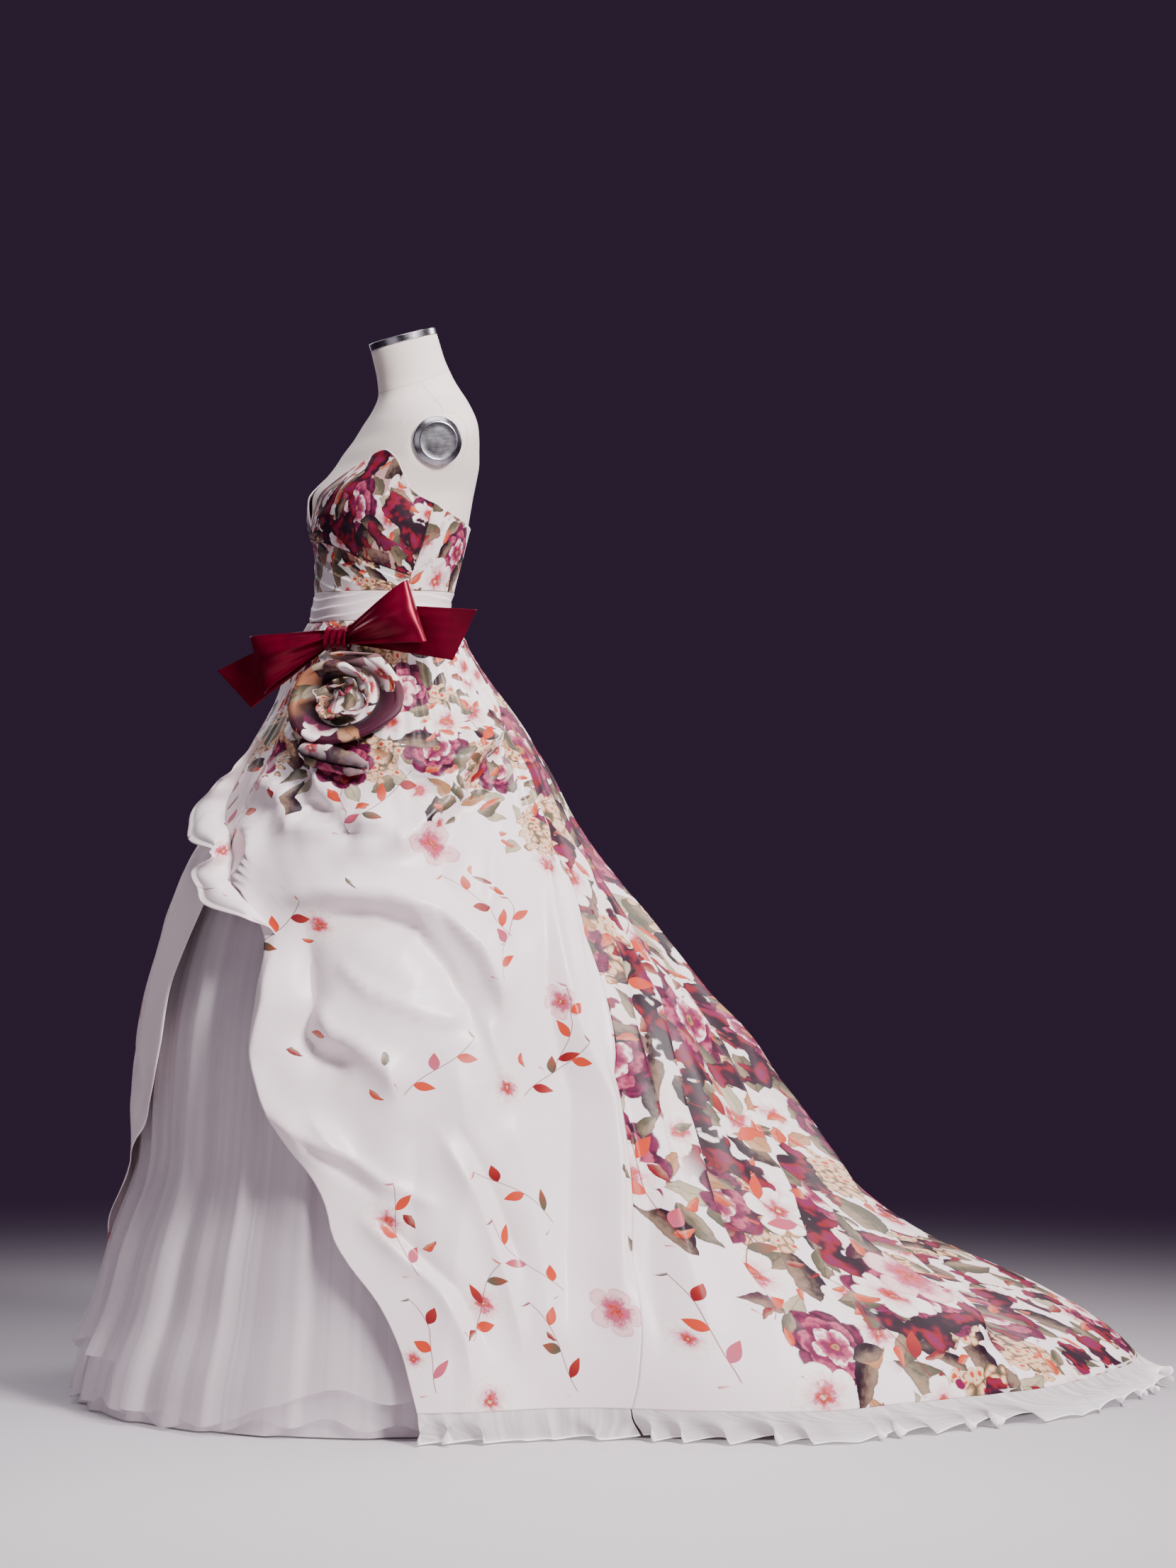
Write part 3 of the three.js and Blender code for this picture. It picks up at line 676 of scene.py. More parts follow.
# the rows of a panel lie closer together near the hem and the waist
rowShares = np.linspace(0, 1, skirt["rows"] + 1)
panelRows = np.interp(rowShares, np.linspace(0, 1, 9),
                      [heights["hem"], 90, 170, 300, 460, 680, 900, 1110, heights["waist"]])


def edgeAt(table, z):
    # an edge of the opening, evened out over 72 mm of height
    return sum(look(table, z + d, soft=False) for d in (-36, -18, 0, 18, 36)) / 5


def drape(angle, z):
    # how far the silk stands off the plain skirt: gathers, slow drift and the listed creases
    angle, z = np.broadcast_arrays(np.asarray(angle, float), np.asarray(z, float))
    turn = (angle + 180) % 360 - 180
    out = (skirt["gatherDepth"] * np.sin(np.radians(angle) * skirt["gathers"])
           * smooth((z - 820) / 330) * smooth((1213 - z) / 20))
    out = out + (3.5 * np.sin(np.radians(angle) * 17 + z / 160)
                 * smooth((900 - z) / 500) * smooth(z / 90))
    out = out + 2.2 * wrinkle(np.radians(angle) * 7, z / 75, 4.0) * smooth((z - 60) / 120)
    out = out + 1.5 * wrinkle(np.radians(angle) * 16, z / 34, 8.0) * smooth((z - 60) / 120)
    near = skirt["swag"] * creases(turn, z, nearPanelCreases)
    far = creases(turn, z, farPanelCreases)
    train = creases(np.abs(turn), z, trainCreases)
    front = np.where(turn > 20, near, far)
    blend = smooth((np.abs(turn) - trainSeam(z) + 4) / 8)
    return out + mix(front, train, blend)


def makePanels():
    def panel(name, start, end, across):
        def place(u, v):
            z = np.interp(v, rowShares, panelRows)
            low, high = start(z), end(z)
            middle = onSkirt((low + high) / 2, z)
            gap = np.degrees(skirt["seamGap"] / np.hypot(middle[..., 0], middle[..., 1]))
            angle = mix(low + gap, high - gap, u)
            return onSkirt(angle, z, drape(angle, z))
        piece = clothGrid(name, across, skirt["rows"], place)
        thicken(piece, skirt["wall"])
        return piece

    return {
        "left": panel("overskirtLeft", lambda z: edgeAt(leftEdge, z), trainSeam, 170),
        "right": panel("overskirtRight", lambda z: -trainSeam(z), lambda z: edgeAt(rightEdge, z),
                       120),
        "trainLeft": panel("trainLeft", trainSeam, backSeam, 120),
        "trainCentre": panel("trainCentre", backSeam, lambda z: 360 - backSeam(z), 160),
        "trainRight": panel("trainRight", lambda z: 360 - backSeam(z),
                            lambda z: 360 - trainSeam(z), 90),
    }


nets = {
    "organzaPetticoat": {"node": "organza_petticoat", "columns": 360, "inset": 34, "hem": 3,
                         "pleats": 24, "depth": 8, "waist": 2.1, "slot": "organza"},
    "tulleInner": {"node": "tulle_inner", "columns": 480, "inset": 19, "hem": 18,
                   "pleats": 28, "depth": 9, "waist": 3.7, "slot": "tulle"},
    "tulleOuter": {"node": "tulle_outer", "columns": 480, "inset": 4, "hem": 62,
                   "pleats": 22, "depth": 14, "waist": 5.3, "slot": "tulle"},
}
# from angle to height: the steps that the hem of the outer tulle is cut in
tulleSteps = np.array([
    (0, 44), (8, 40), (9, 26), (21, 14), (22, -26), (52, -38), (62, 0), (330, 0), (352, 34),
    (360, 44),
], float)


def makeNets():
    made = {}
    for name, net in nets.items():
        def place(u, v, net=net, name=name):
            hem = net["hem"] + (7 * np.sin(np.radians(360 * u) * 7)
                                + 7 * np.sin(np.radians(360 * u) * net["pleats"])) * (net["hem"] > 10)
            angle = 360 * u
            if name == "tulleOuter":
                hem = hem + np.interp(angle, tulleSteps[:, 0], tulleSteps[:, 1])
            z = mix(hem, heights["waist"], v ** 0.9)
            low = smooth((heights["hip"] - z) / 900)
            opening = bump(((angle + 180) % 360) - 180, 22, 62)
            turn = np.radians(angle)
            beat = (angle / 360 * net["pleats"] + 0.25 * np.sin(turn * 3)
                    + 0.16 * np.sin(turn * 7)) % 1
            pleat = 2 * beat ** 1.25 * smooth((1 - beat) * 7) - 0.9
            wave = net["depth"] * mix(0.45, 1.0, opening) * low * pleat
            spread = net["inset"] * mix(0.22, 1, smooth((heights["hip"] - z) / 300))
            radius = radiusOf(tulleRadius, angle, np.minimum(z, heights["hip"]))
            hanging = polar(angle, radius - spread + wave, z)
            return joinAtWaist(hanging, onBody(angle, z, net["waist"]), z)
        made[name] = clothGrid(name, net["columns"], 56, place, ring=True, evenMap=True)
    return made


frills = {
    "hemFrillLeft": {"node": "hem_frill_left", "columns": 220},
    "hemFrillTrain": {"node": "hem_frill_train", "columns": 1300},
    "hemFrillRight": {"node": "hem_frill_right", "columns": 460},
}


def makeFrills():
    # each frill keeps a small gap in degrees to its neighbour and to the edge of the opening
    gap = 0.05
    nearEdge = float(edgeAt(leftEdge, heights["hem"])) + 2 * gap
    middle = trainSeam(heights["hem"])
    farEdge = float(edgeAt(rightEdge, heights["hem"])) - 2 * gap
    spans = {"hemFrillLeft": (nearEdge, middle - gap),
             "hemFrillTrain": (middle + gap, 360 - middle - gap),
             "hemFrillRight": (-middle + gap, farEdge)}
    made = {}
    for name, frill in frills.items():
        def place(u, v, name=name):
            angle = mix(*spans[name], u)
            side = foldAngle(angle)
            reach = trainShare(angle)
            hem = np.full_like(angle, heights["hem"])
            top = onSkirt(angle, hem, drape(angle, hem))
            radius = np.hypot(top[..., 0], top[..., 1])
            beat = np.interp(side, [0, 42, 114, 140, 180], [0, 7, 20, 29, 41])
            phase = beat * 2 * np.pi + 1.1 * np.sin(beat * 2.1)
            low = 1 - v
            size = 0.95 + 0.75 * np.sin(beat * 1.27 + 1) * np.sin(beat * 0.43 + 0.4)
            swing = 10 * np.sin(phase) * smooth(low * 1.2) * size
            out = mix(14, 50, reach) * low ** 1.2
            curl = 12 * np.cos(phase) * smooth(low * 1.6 - 0.4) * size * np.sign(angle % 360 - 180)
            rise = mix(5, 15, reach) * (1 + np.sin(phase + 0.9)) * 0.5 * low * size
            z = mix(2.4 + rise, 53 - mix(0.6, 2.5, reach), v ** 1.25)
            p = polar(angle, radius + out + swing - 3.2 * smooth((v - 0.75) / 0.25), z)
            turn = np.radians(angle)
            p[..., 0] -= curl * np.cos(turn)
            p[..., 1] -= curl * np.sin(turn)
            return p
        made[name] = clothGrid(name, frill["columns"], 12, place)
    return made


rosette = {"angle": 57.0, "height": 1093.0, "turns": 2.15, "crumple": 4.2, "squash": 0.82,
           "wall": 1.2}


def makeRosette():
    def swirl(u, v):
        turn = u * rosette["turns"] * 2 * np.pi + 0.9
        outer = smooth((u - 0.42) / 0.14)
        closing = smooth((u - 0.80) / 0.16)
        s, t = np.cos(turn), np.sin(turn)
        r = 10 + 54 * u ** 0.85 + (1 - outer) * 7 * np.sin(3.3 * turn + 0.6) * smooth(u * 9)
        tall = mix(20 + 12 * np.sin(turn * 2.3 + 1.0), 27, outer) * mix(1, 0.55, closing)
        shaft = np.clip(v / 0.7, 0, 1)
        roll = np.clip((v - 0.7) / 0.3, 0, 1) * mix(0.5, 1.2, outer) * mix(1, 0.5, closing) * np.pi
        thick = mix(4.0, 6.5, outer)
        crumple = rosette["crumple"] * v * (
            wrinkle(u * 46, v * 4, 2.0) * mix(1.7, 0.5, outer)
            + (1 - 2 * np.abs(np.sin(u * 31 + v * 2.2)) ** 0.7) * mix(1.1, 0.25 + closing, outer))
        lean = (mix(10, 21, outer) * shaft ** 1.4 + thick * (1 - np.cos(roll)) * mix(0.6, 1.0, outer)
                + crumple)
        height = 1.5 + tall * shaft + thick * np.sin(roll) + 0.9 * crumple * np.cos(turn * 2)
        z = rosette["height"] + (r + lean) * t * rosette["squash"]
        base = onSkirt(np.full_like(u, rosette["angle"]), z)
        around = np.degrees((r + lean) * s / np.hypot(base[..., 0], base[..., 1]))
        return onSkirt(rosette["angle"] + around, z, height)

    def tail(u, v):
        roll = mix(-0.55, 1.35, v) * np.pi
        angle = mix(46, 72, u)
        radius = (mix(9, 21, np.sin(np.pi * np.clip(u * 1.05, 0, 1)) ** 0.7)
                  + 2.8 * wrinkle(u * 13, v * 5, 5.0)) * (1 - 0.35 * smooth((v - 0.75) / 0.25))
        z = mix(1014, 986, u) + radius * np.cos(roll)
        return onSkirt(angle, z, 20.8 - radius * np.sin(roll))
    made = {"rosette": clothGrid("rosetteSwirl", 320, 30, swirl, evenMap=True),
            "rosette_tail": clothGrid("rosetteTail", 60, 44, tail)}
    for piece in made.values():
        thicken(piece, rosette["wall"], 0)
    return made


cascade = {"low": 737, "top": 1030, "wall": 1.2}
# each row: height, angle, how far the curled edge stands out
cascadeLine = np.array([
    (1030, 10, 10), (985, 6, 26), (930, 10, 42), (870, 23, 46), (820, 34, 46), (775, 42, 36),
    (735, 51, 3),
], float)


def makeCascade():
    def place(u, v):
        z = mix(cascade["low"], cascade["top"], u)
        wave = np.sin(u * 5 * np.pi + 0.5) + 0.22 * np.sin(u * 17 * np.pi)
        ends = np.sin(np.pi * u) ** 0.6
        angle = look(cascadeLine, z) + 5.5 * wave * ends * mix(0.35, 1.5, v)
        out = look(cascadeLine, z, 2, soft=False)
        lip = np.sin(np.pi * np.clip(v * 1.15, 0, 1)) * 0.25 + v ** 0.8
        fall = -26 * v ** 2 * (0.5 - 0.5 * np.cos(u * 5 * np.pi + 0.5)) * ends
        crumple = wrinkle(u * 15, v * 3, 3.0) + 0.8 * wrinkle(u * 34, v * 2, 6.0) * v
        return onSkirt(angle - 3.0 * v ** 2 * ends + 0.5 * crumple * v, z + fall,
                       1.6 + out * 0.92 * lip + 1.6 * crumple * v)
    piece = clothGrid("frontCascade", 240, 36, place)
    thicken(piece, cascade["wall"], 0)
    return piece


bow = {"angle": 50.0, "height": 1188.0, "crease": 1.9, "knotHalf": 19, "knotDepth": 14,
       "wall": 0.9}
# across and up from the knot: top and low corner at the knot, then at the far end; a tail also
# has the height of the notch in its end
bowShapes = {
    "left": {"loop": ([(-12, 12.2), (-12, -10.4)], [(-156, 4), (-130, -86)]),
             "tail": ([(-5, 8), (-5, -2)], [(-222, -48), (-158, -108)], -4)},
    "right": {"loop": ([(12, 9.8), (12, -10.6)], [(120, 87), (154, -9)]),
              "tail": ([(5, 5.8), (5, -7.6)], [(233, 40), (194, -37)], 48)},
}


def makeBow():
    half, depth = bow["knotHalf"], bow["knotDepth"]
    facing = polar(bow["angle"], 1, 0)
    along = np.array([-facing[1], facing[0], 0])
    turns = np.linspace(0, np.pi, 61)
    back = onSkirt(bow["angle"], bow["height"] + half * np.cos(turns)) @ facing
    reach = float((back + depth * np.sin(turns) + 0.6).max())

    def at(side, up, out):
        return (np.array([0, 0, bow["height"]]) + facing * (reach + out)[..., None]
                + along * side[..., None] + np.array([0, 0, 1.0]) * up[..., None])

    def knot(u, v):
        turn = 2 * np.pi * u
        fold = 1 - 0.12 * np.sin(np.pi * v) + 0.055 * np.sin(v * 21 + 1.2 * np.sin(turn))
        side = mix(half, -half, v) + 2.5 * np.sin(turn)
        return at(side, half * fold * np.sin(turn), depth * fold * np.cos(turn))
    made = {"bow_knot": clothGrid("bowKnot", 72, 40, knot, ring=True)}
    for name, shape in bowShapes.items():
        front = name == "right"

        def loop(u, v, shape=shape["loop"], front=front):
            turn = 2 * np.pi * (u if front else 1 - u)
            far = (1 - np.cos(turn)) / 2
            top, low = ([mix(shape[0][e][c], shape[1][e][c], far) for c in (0, 1)]
                        for e in (0, 1))
            curl = np.sin(turn)
            out = np.where(curl > 0, 22, 8) * curl * mix(0.32, 1, far)
            near = (1 - far) ** 1.1 * smooth(far * 9)
            fan = (2.2 * np.cos(v * 11 + 1.2 * far) + 1.2 * np.cos(v * 23 - 2 * far + 1)) * near
            fan = fan + 2.6 * np.cos(v * 5.5 + 2.5 + far) * np.sin(np.pi * far)
            belly = np.sin(np.pi * v) * 4 * far * np.sign(curl) * np.abs(curl) ** 0.5
            return at(mix(low[0], top[0], v), mix(low[1], top[1], v),
                      out + fan * bow["crease"] * np.where(curl > 0, 1, 0.4)
                      + belly * (curl > 0))
        made["bow_loop_" + name] = clothGrid("bowLoop" + name.title(), 120, 54, loop, ring=True)

        def tail(u, v, shape=shape["tail"], front=front):
            k = u if front else 1 - u
            top, low = ([mix(shape[0][e][c], shape[1][e][c], k) for c in (0, 1)] for e in (0, 1))
            middle = (shape[0][0][1] + shape[1][0][1]) / 2
            top[1] = top[1] + (1 - np.abs(2 * k - 1)) * (shape[2] - middle)
            fan = (1.2 * np.cos(v * 16) + 0.8 * np.cos(v * 29 + 1)) * (1 - k) ** 1.3 * smooth(k * 5)
            out = (-6.2 - 2.2 * np.clip(k * 4, 0, 1) + 2.5 * np.sin(k * 9 + v * 2) * k + fan)
            return at(mix(low[0], top[0], v), mix(low[1], top[1], v), out)
        made["bow_tail_" + name] = clothGrid("bowTail" + name.title(), 90, 30, tail)
    for piece in made.values():
        thicken(piece, bow["wall"], 0)
    return made


class Graph:
    # a node tree with short calls for the nodes used below
    def __init__(self, tree):
        self.tree = tree

    def add(self, kind, inputs=(), **settings):
        node = self.tree.nodes.new("ShaderNode" + kind)
        for key, value in settings.items():
            setattr(node, key, value)
        for key, value in dict(inputs).items():
            self.put(node.inputs[key], value)
        return node

    def put(self, socket, value):
        if isinstance(value, bpy.types.NodeSocket):
            self.tree.links.new(value, socket)
        elif isinstance(value, tuple) and len(value) == 3 and socket.type == "RGBA":
            socket.default_value = (*value, 1)
        else:
            socket.default_value = value

    def calc(self, operation, a, b=0.0, c=None, clamp=False):
        inputs = {0: a, 1: b}
        if c is not None:
            inputs[2] = c
        return self.add("Math", inputs, operation=operation, use_clamp=clamp).outputs[0]

    def vector(self, operation, a, b=None, out=0, scale=None):
        inputs = {0: a}
        if b is not None:
            inputs[1] = b
        if scale is not None:
            inputs["Scale"] = scale
        return self.add("VectorMath", inputs, operation=operation).outputs[out]

    def step(self, value, low, high, top=1.0, bottom=0.0):
        node = self.add("MapRange", {0: value, 1: low, 2: high, 3: bottom, 4: top},
                        interpolation_type="SMOOTHSTEP")
        return node.outputs[0]

    def blend(self, share, a, b, how="MIX"):
        node = self.add("Mix", data_type="RGBA", blend_type=how, clamp_factor=True)
        self.put(node.inputs[0], share)
        self.put(node.inputs[6], a)
        self.put(node.inputs[7], b)
        return node.outputs[2]

    def ramp(self, value, stops, how="LINEAR"):
        node = self.add("ValToRGB", {0: value})
        node.color_ramp.interpolation = how
        while len(node.color_ramp.elements) < len(stops):
            node.color_ramp.elements.new(0.5)
        for element, (at, colour) in zip(node.color_ramp.elements, stops):
            element.position = at
            element.color = (*colour, 1)
        return node.outputs[0]

    def noise(self, where, scale, detail=2.0, out=0):
        return self.add("TexNoise", {"Vector": where, "Scale": scale, "Detail": detail},
                        noise_dimensions="2D" if out == 0 else "3D").outputs[out]

    def cells(self, where, scale, scatter=0.85):
        return self.add("TexVoronoi", {"Vector": where, "Scale": scale, "Randomness": scatter},
                        voronoi_dimensions="2D", feature="F1")


def newGroup(name, inputs, outputs):
    tree = bpy.data.node_groups.new(name, "ShaderNodeTree")
    for label, kind in inputs:
        tree.interface.new_socket(name=label, in_out="INPUT", socket_type="NodeSocket" + kind)
    for label, kind in outputs:
        tree.interface.new_socket(name=label, in_out="OUTPUT", socket_type="NodeSocket" + kind)
    graph = Graph(tree)
    source = tree.nodes.new("NodeGroupInput")
    drain = tree.nodes.new("NodeGroupOutput")
    return graph, source.outputs, drain.inputs


printLook = {
    "sage": (0.085, 0.072, 0.044), "sagePale": (0.38, 0.33, 0.23), "aubergine": (0.016, 0.003, 0.011),
    "plum": (0.050, 0.002, 0.020), "magenta": (0.175, 0.007, 0.060), "rose": (0.47, 0.085, 0.15),
    "blush": (0.86, 0.55, 0.57), "pale": (0.94, 0.84, 0.83), "coral": (0.55, 0.050, 0.018),
    "red": (0.21, 0.004, 0.010), "tan": (0.42, 0.19, 0.085), "tanPale": (0.72, 0.48, 0.32),
    "ground": (0.90, 0.83, 0.83),
}


def makePrintGroup():
    # generic blossoms, clusters and leaves scattered in cells; each is kept where the share allows it
    g, given, out = newGroup("scatteredFlowers", [("Map", "Vector"), ("Slope", "Vector"),
                                                  ("Base", "Float"), ("Sparse", "Float"),
                                                  ("Deep", "Float"), ("Ground", "Color")],
                             [("Color", "Color")])
    tones = printLook
    wobble = g.vector("SUBTRACT", g.noise(given["Map"], 40, 3, out=1), (0.5, 0.5, 0.5))
    where = g.vector("ADD", given["Map"], g.vector("SCALE", wobble, scale=0.014))

    def wanted(spot):
        return g.calc("ADD", g.vector("DOT_PRODUCT", spot, given["Slope"], out=1), given["Base"],
                      clamp=True)

    def spots(at, scale, shift, scatter=0.85):
        shifted = g.vector("ADD", at, shift)
        cell = g.cells(shifted, scale, scatter)
        spot = g.vector("SUBTRACT", cell.outputs["Position"], shift)
        delta = g.vector("SUBTRACT", shifted, cell.outputs["Position"])
        parts = g.add("SeparateColor", {0: cell.outputs["Color"]}).outputs
        return delta, spot, parts, cell.outputs["Distance"]

    def turned(delta, dice):
        node = g.add("VectorRotate", {"Vector": delta, "Angle": g.calc("MULTIPLY", dice, 6.283)},
                     rotation_type="Z_AXIS")
        return g.add("SeparateXYZ", {0: node.outputs[0]}).outputs

    def allowed(spot, dice, share, thin=0.0):
        limit = g.calc("MULTIPLY", wanted(spot), share)
        if thin:
            limit = g.calc("MAXIMUM", limit, g.calc("MULTIPLY", given["Sparse"], thin))
        return g.calc("LESS_THAN", dice, limit)

    def drift(value, amount):
        return g.calc("MULTIPLY", g.calc("SUBTRACT", value, 0.5), amount)

    stain = g.noise(given["Map"], 120, 3)
    tinted = wanted(given["Map"])
    wash = g.ramp(g.noise(given["Map"], 13, 1), [(0.40, tones["tanPale"]), (0.55, tones["blush"])])
    patch = g.calc("MULTIPLY", g.step(g.noise(given["Map"], 8, 2), 0.44, 0.66, 0.30),
                   g.calc("POWER", tinted, 4.0))
    colour = g.blend(patch, given["Ground"], wash)

    def leaves(colour, scale, shift, long, wide, paints, share=1.0, thin=0.0, scatter=0.9):
        delta, spot, dice, _ = spots(where, scale, shift, scatter)
        along = turned(delta, dice[0])
        size = g.calc("MULTIPLY_ADD", dice[1], 0.5, 0.7)
        x = g.calc("DIVIDE", along[0], g.calc("MULTIPLY", size, long))
        bent = g.calc("SUBTRACT", along[1], g.calc("MULTIPLY", g.calc("MULTIPLY", x, x), wide * 0.5))
        y = g.calc("DIVIDE", bent, g.calc("MULTIPLY", size, wide))
        belly = g.calc("MULTIPLY", g.calc("SUBTRACT", 1.0, g.calc("MULTIPLY", x, x), clamp=True),
                       g.calc("SUBTRACT", 1.0, g.calc("MULTIPLY", x, 0.4)))
        inside = g.calc("SUBTRACT", belly, g.calc("ABSOLUTE", y))
        mask = g.calc("MULTIPLY", g.step(inside, 0.0, 0.07), allowed(spot, dice[2], share, thin))
        pick = g.calc("FRACT", g.calc("MULTIPLY", dice[1], 7.31))
        paint = g.ramp(pick, paints, "CONSTANT")
        lit = g.calc("MULTIPLY", g.step(g.calc("ADD", y, g.calc("MULTIPLY", stain, 1.2)), 0.0, 1.5),
                     0.32)
        paint = g.blend(lit, paint, tones["tanPale"])
        paint = g.blend(g.step(inside, 0.02, 0.30, 0.0, 0.35), paint, tones["aubergine"])
        vein = g.step(g.calc("ABSOLUTE", y), 0.0, 0.09, 0.0, 0.45)
        paint = g.blend(vein, paint, tones["aubergine"])
        return g.blend(mask, colour, paint)

    def blossoms(colour, scale, shift, radius, petals, share, thin=0.0, edge="pale",
                 inner="blush"):
        delta, spot, dice, _ = spots(where, scale, shift, 0.8)
        along = turned(delta, dice[0])
        r = g.vector("LENGTH", delta, out=1)
        turn = g.calc("ARCTAN2", along[1], along[0])
        phase = g.calc("MULTIPLY", g.calc("SUBTRACT", g.calc(
            "FRACT", g.calc("MULTIPLY", turn, petals / 6.2832)), 0.5), 2.0)
        notch = g.calc("POWER", g.calc("ABSOLUTE", phase), 3.0)
        size = g.calc("MULTIPLY", g.calc("MULTIPLY_ADD", dice[1], 0.5, 0.7), radius)
        rim = g.calc("MULTIPLY", size, g.calc("MULTIPLY_ADD", notch, -0.34, 1.0))
        away = g.calc("DIVIDE", r, rim)
        mask = g.calc("MULTIPLY", g.step(away, 0.95, 1.0, 0.0, 1.0),
                      allowed(spot, dice[2], share, thin))
        veins = g.calc("SINE", g.calc("MULTIPLY", turn, petals * 5.0))
        tone = g.calc("ADD", away, drift(stain, 0.5))
        tone = g.calc("ADD", tone, g.calc("MULTIPLY", veins, 0.03))
        paint = g.ramp(tone, [(0.0, tones["tanPale"]), (0.09, tones["red"]), (0.17, tones["coral"]),
                              (0.27, tones["rose"]), (0.42, tones[inner]), (0.72, tones[edge]),
                              (1.0, tones[edge])])
        line = g.calc("MULTIPLY", g.step(g.calc("ABSOLUTE", phase), 0.72, 1.0),
                      g.step(away, 0.15, 0.9, 0.15, 0.7))
        paint = g.blend(line, paint, tones["rose"])
        paint = g.blend(g.step(away, 0.86, 1.0, 0.45), paint, tones[inner])
        return g.blend(mask, colour, paint)

    def peonies(colour, scale, shift, radius, share):
        # three rings of ruffled petals around one centre
        delta, spot, dice, _ = spots(where, scale, shift, 0.75)
        along = turned(delta, dice[0])
        turn = g.calc("ARCTAN2", along[1], along[0])
        size = g.calc("MULTIPLY", g.calc("MULTIPLY_ADD", dice[1], 0.35, 0.8), radius)
        away = g.calc("DIVIDE", g.vector("LENGTH", delta, out=1), size)
        ok = allowed(spot, dice[2], share)
        for k, (reach, petals, dark, mid, light) in enumerate((
                (1.0, 8, "aubergine", "plum", "magenta"), (0.74, 6, "plum", "magenta", "rose"),
                (0.47, 5, "magenta", "rose", "pale"))):
            phase = g.calc("MULTIPLY", g.calc("SUBTRACT", g.calc("FRACT", g.calc(
                "MULTIPLY_ADD", turn, petals / 6.2832, 0.37 * k)), 0.5), 2.0)
            notch = g.calc("POWER", g.calc("ABSOLUTE", phase), 2.5)
            ring = g.calc("DIVIDE", away, g.calc("MULTIPLY_ADD", notch, -0.20 * reach, reach))
            tone = g.calc("ADD", ring, drift(stain, 0.7))
            tone = g.calc("SUBTRACT", tone, g.calc("MULTIPLY", notch, 0.35))
            paint = g.ramp(tone, [(0.35, tones[dark]), (0.62, tones[mid]), (0.86, tones[light]),
                                  (1.0, tones[mid])])
            colour = g.blend(g.calc("MULTIPLY", g.step(ring, 0.94, 1.0, 0.0, 1.0), ok), colour, paint)
        heart = g.ramp(g.calc("ADD", away, g.calc("MULTIPLY", stain, 0.1)),
                       [(0.07, tones["sage"]), (0.12, tones["tan"]), (0.17, tones["red"])])
        return g.blend(g.calc("MULTIPLY", g.step(away, 0.11, 0.15, 0.0, 1.0), ok), colour, heart)

    def clusters(colour, scale, shift, radius, floret, stops, share):
        # florets are kept whole: their own middle is measured against the cluster
        _, middle, part, away = spots(where, floret, (shift[0] * 3, shift[1] + 7.7, 0), 0.75)
        delta, spot, dice, _ = spots(middle, scale, shift, 0.75)
        size = g.calc("MULTIPLY", g.calc("MULTIPLY_ADD", dice[1], 0.4, 0.75), radius)
        r = g.calc("DIVIDE", g.vector("LENGTH", delta, out=1), size)
        outer = g.calc("ADD", r, g.calc("MULTIPLY", part[1], 0.3))
        filled = g.calc("MAXIMUM", g.step(away, 0.60, 0.66, 0.0, 1.0),
                        g.calc("LESS_THAN", r, 0.62))
        mask = g.calc("MULTIPLY", g.calc("LESS_THAN", outer, 1.05), filled)
        mask = g.calc("MULTIPLY", mask, allowed(spot, dice[2], share))
        tone = g.calc("ADD", g.calc("ADD", away, drift(stain, 0.55)), drift(part[2], 0.5))
        return g.blend(mask, colour, g.ramp(tone, stops))

    def sprigs(colour, scale, shift, share):
        # thin bent stems with leaves on both sides in turn
        delta, spot, dice, _ = spots(given["Map"], scale, shift, 0.8)
        along = turned(delta, g.calc("MULTIPLY_ADD", dice[0], 0.30, 0.60))
        x = along[0]
        y = g.calc("SUBTRACT", along[1], g.calc("MULTIPLY", g.calc("SINE", g.calc(
            "MULTIPLY_ADD", x, 30.0, g.calc("MULTIPLY", dice[1], 6.0))), 0.009))
        span = g.step(g.calc("ABSOLUTE", x), 0.070, 0.074, 0.0, 1.0)
        stem = g.calc("MULTIPLY", g.step(g.calc("ABSOLUTE", y), 0.0004, 0.0010, 0.0, 0.8), span)
        beat = g.calc("MULTIPLY", x, 25.0)
        near = g.calc("FLOOR", g.calc("ADD", beat, 0.5))
        side = g.calc("MULTIPLY_ADD", g.calc("FRACT", g.calc("MULTIPLY", near, 0.5)), -4.0, 1.0)
        dx = g.calc("DIVIDE", g.calc("SUBTRACT", beat, near), 25.0)
        dy = g.calc("SUBTRACT", y, g.calc("MULTIPLY", side, 0.0124))
        dxSide = g.calc("MULTIPLY", dx, side)
        dySide = g.calc("MULTIPLY", dy, side)
        a = g.calc("ADD", g.calc("MULTIPLY", dx, 0.64), g.calc("MULTIPLY", dySide, 0.77))
        b = g.calc("SUBTRACT", g.calc("MULTIPLY", dy, 0.64), g.calc("MULTIPLY", dxSide, 0.77))
        a = g.calc("DIVIDE", a, 0.0165)
        b = g.calc("ABSOLUTE", g.calc("DIVIDE", b, 0.0078))
        belly = g.calc("MULTIPLY", g.calc("SUBTRACT", 1.0, g.calc("MULTIPLY", a, a), clamp=True),
                       g.calc("SUBTRACT", 1.0, g.calc("MULTIPLY", a, 0.35)))
        leaf = g.calc("MULTIPLY", g.step(g.calc("SUBTRACT", belly, b), 0.0, 0.08), span)
        pick = g.calc("FRACT", g.calc("MULTIPLY_ADD", near, 0.37, g.calc("MULTIPLY", dice[1], 5.0)))
        paint = g.ramp(pick, [(0.0, tones["coral"]), (0.45, tones["red"]), (0.7, tones["rose"]),
                              (0.85, tones["sage"])], "CONSTANT")
        paint = g.blend(g.step(a, -0.8, 1.0, 0.4), paint, tones["coral"])
        ok = g.calc("LESS_THAN", dice[2], share)
        colour = g.blend(g.calc("MULTIPLY", stem, ok), colour, tones["red"])
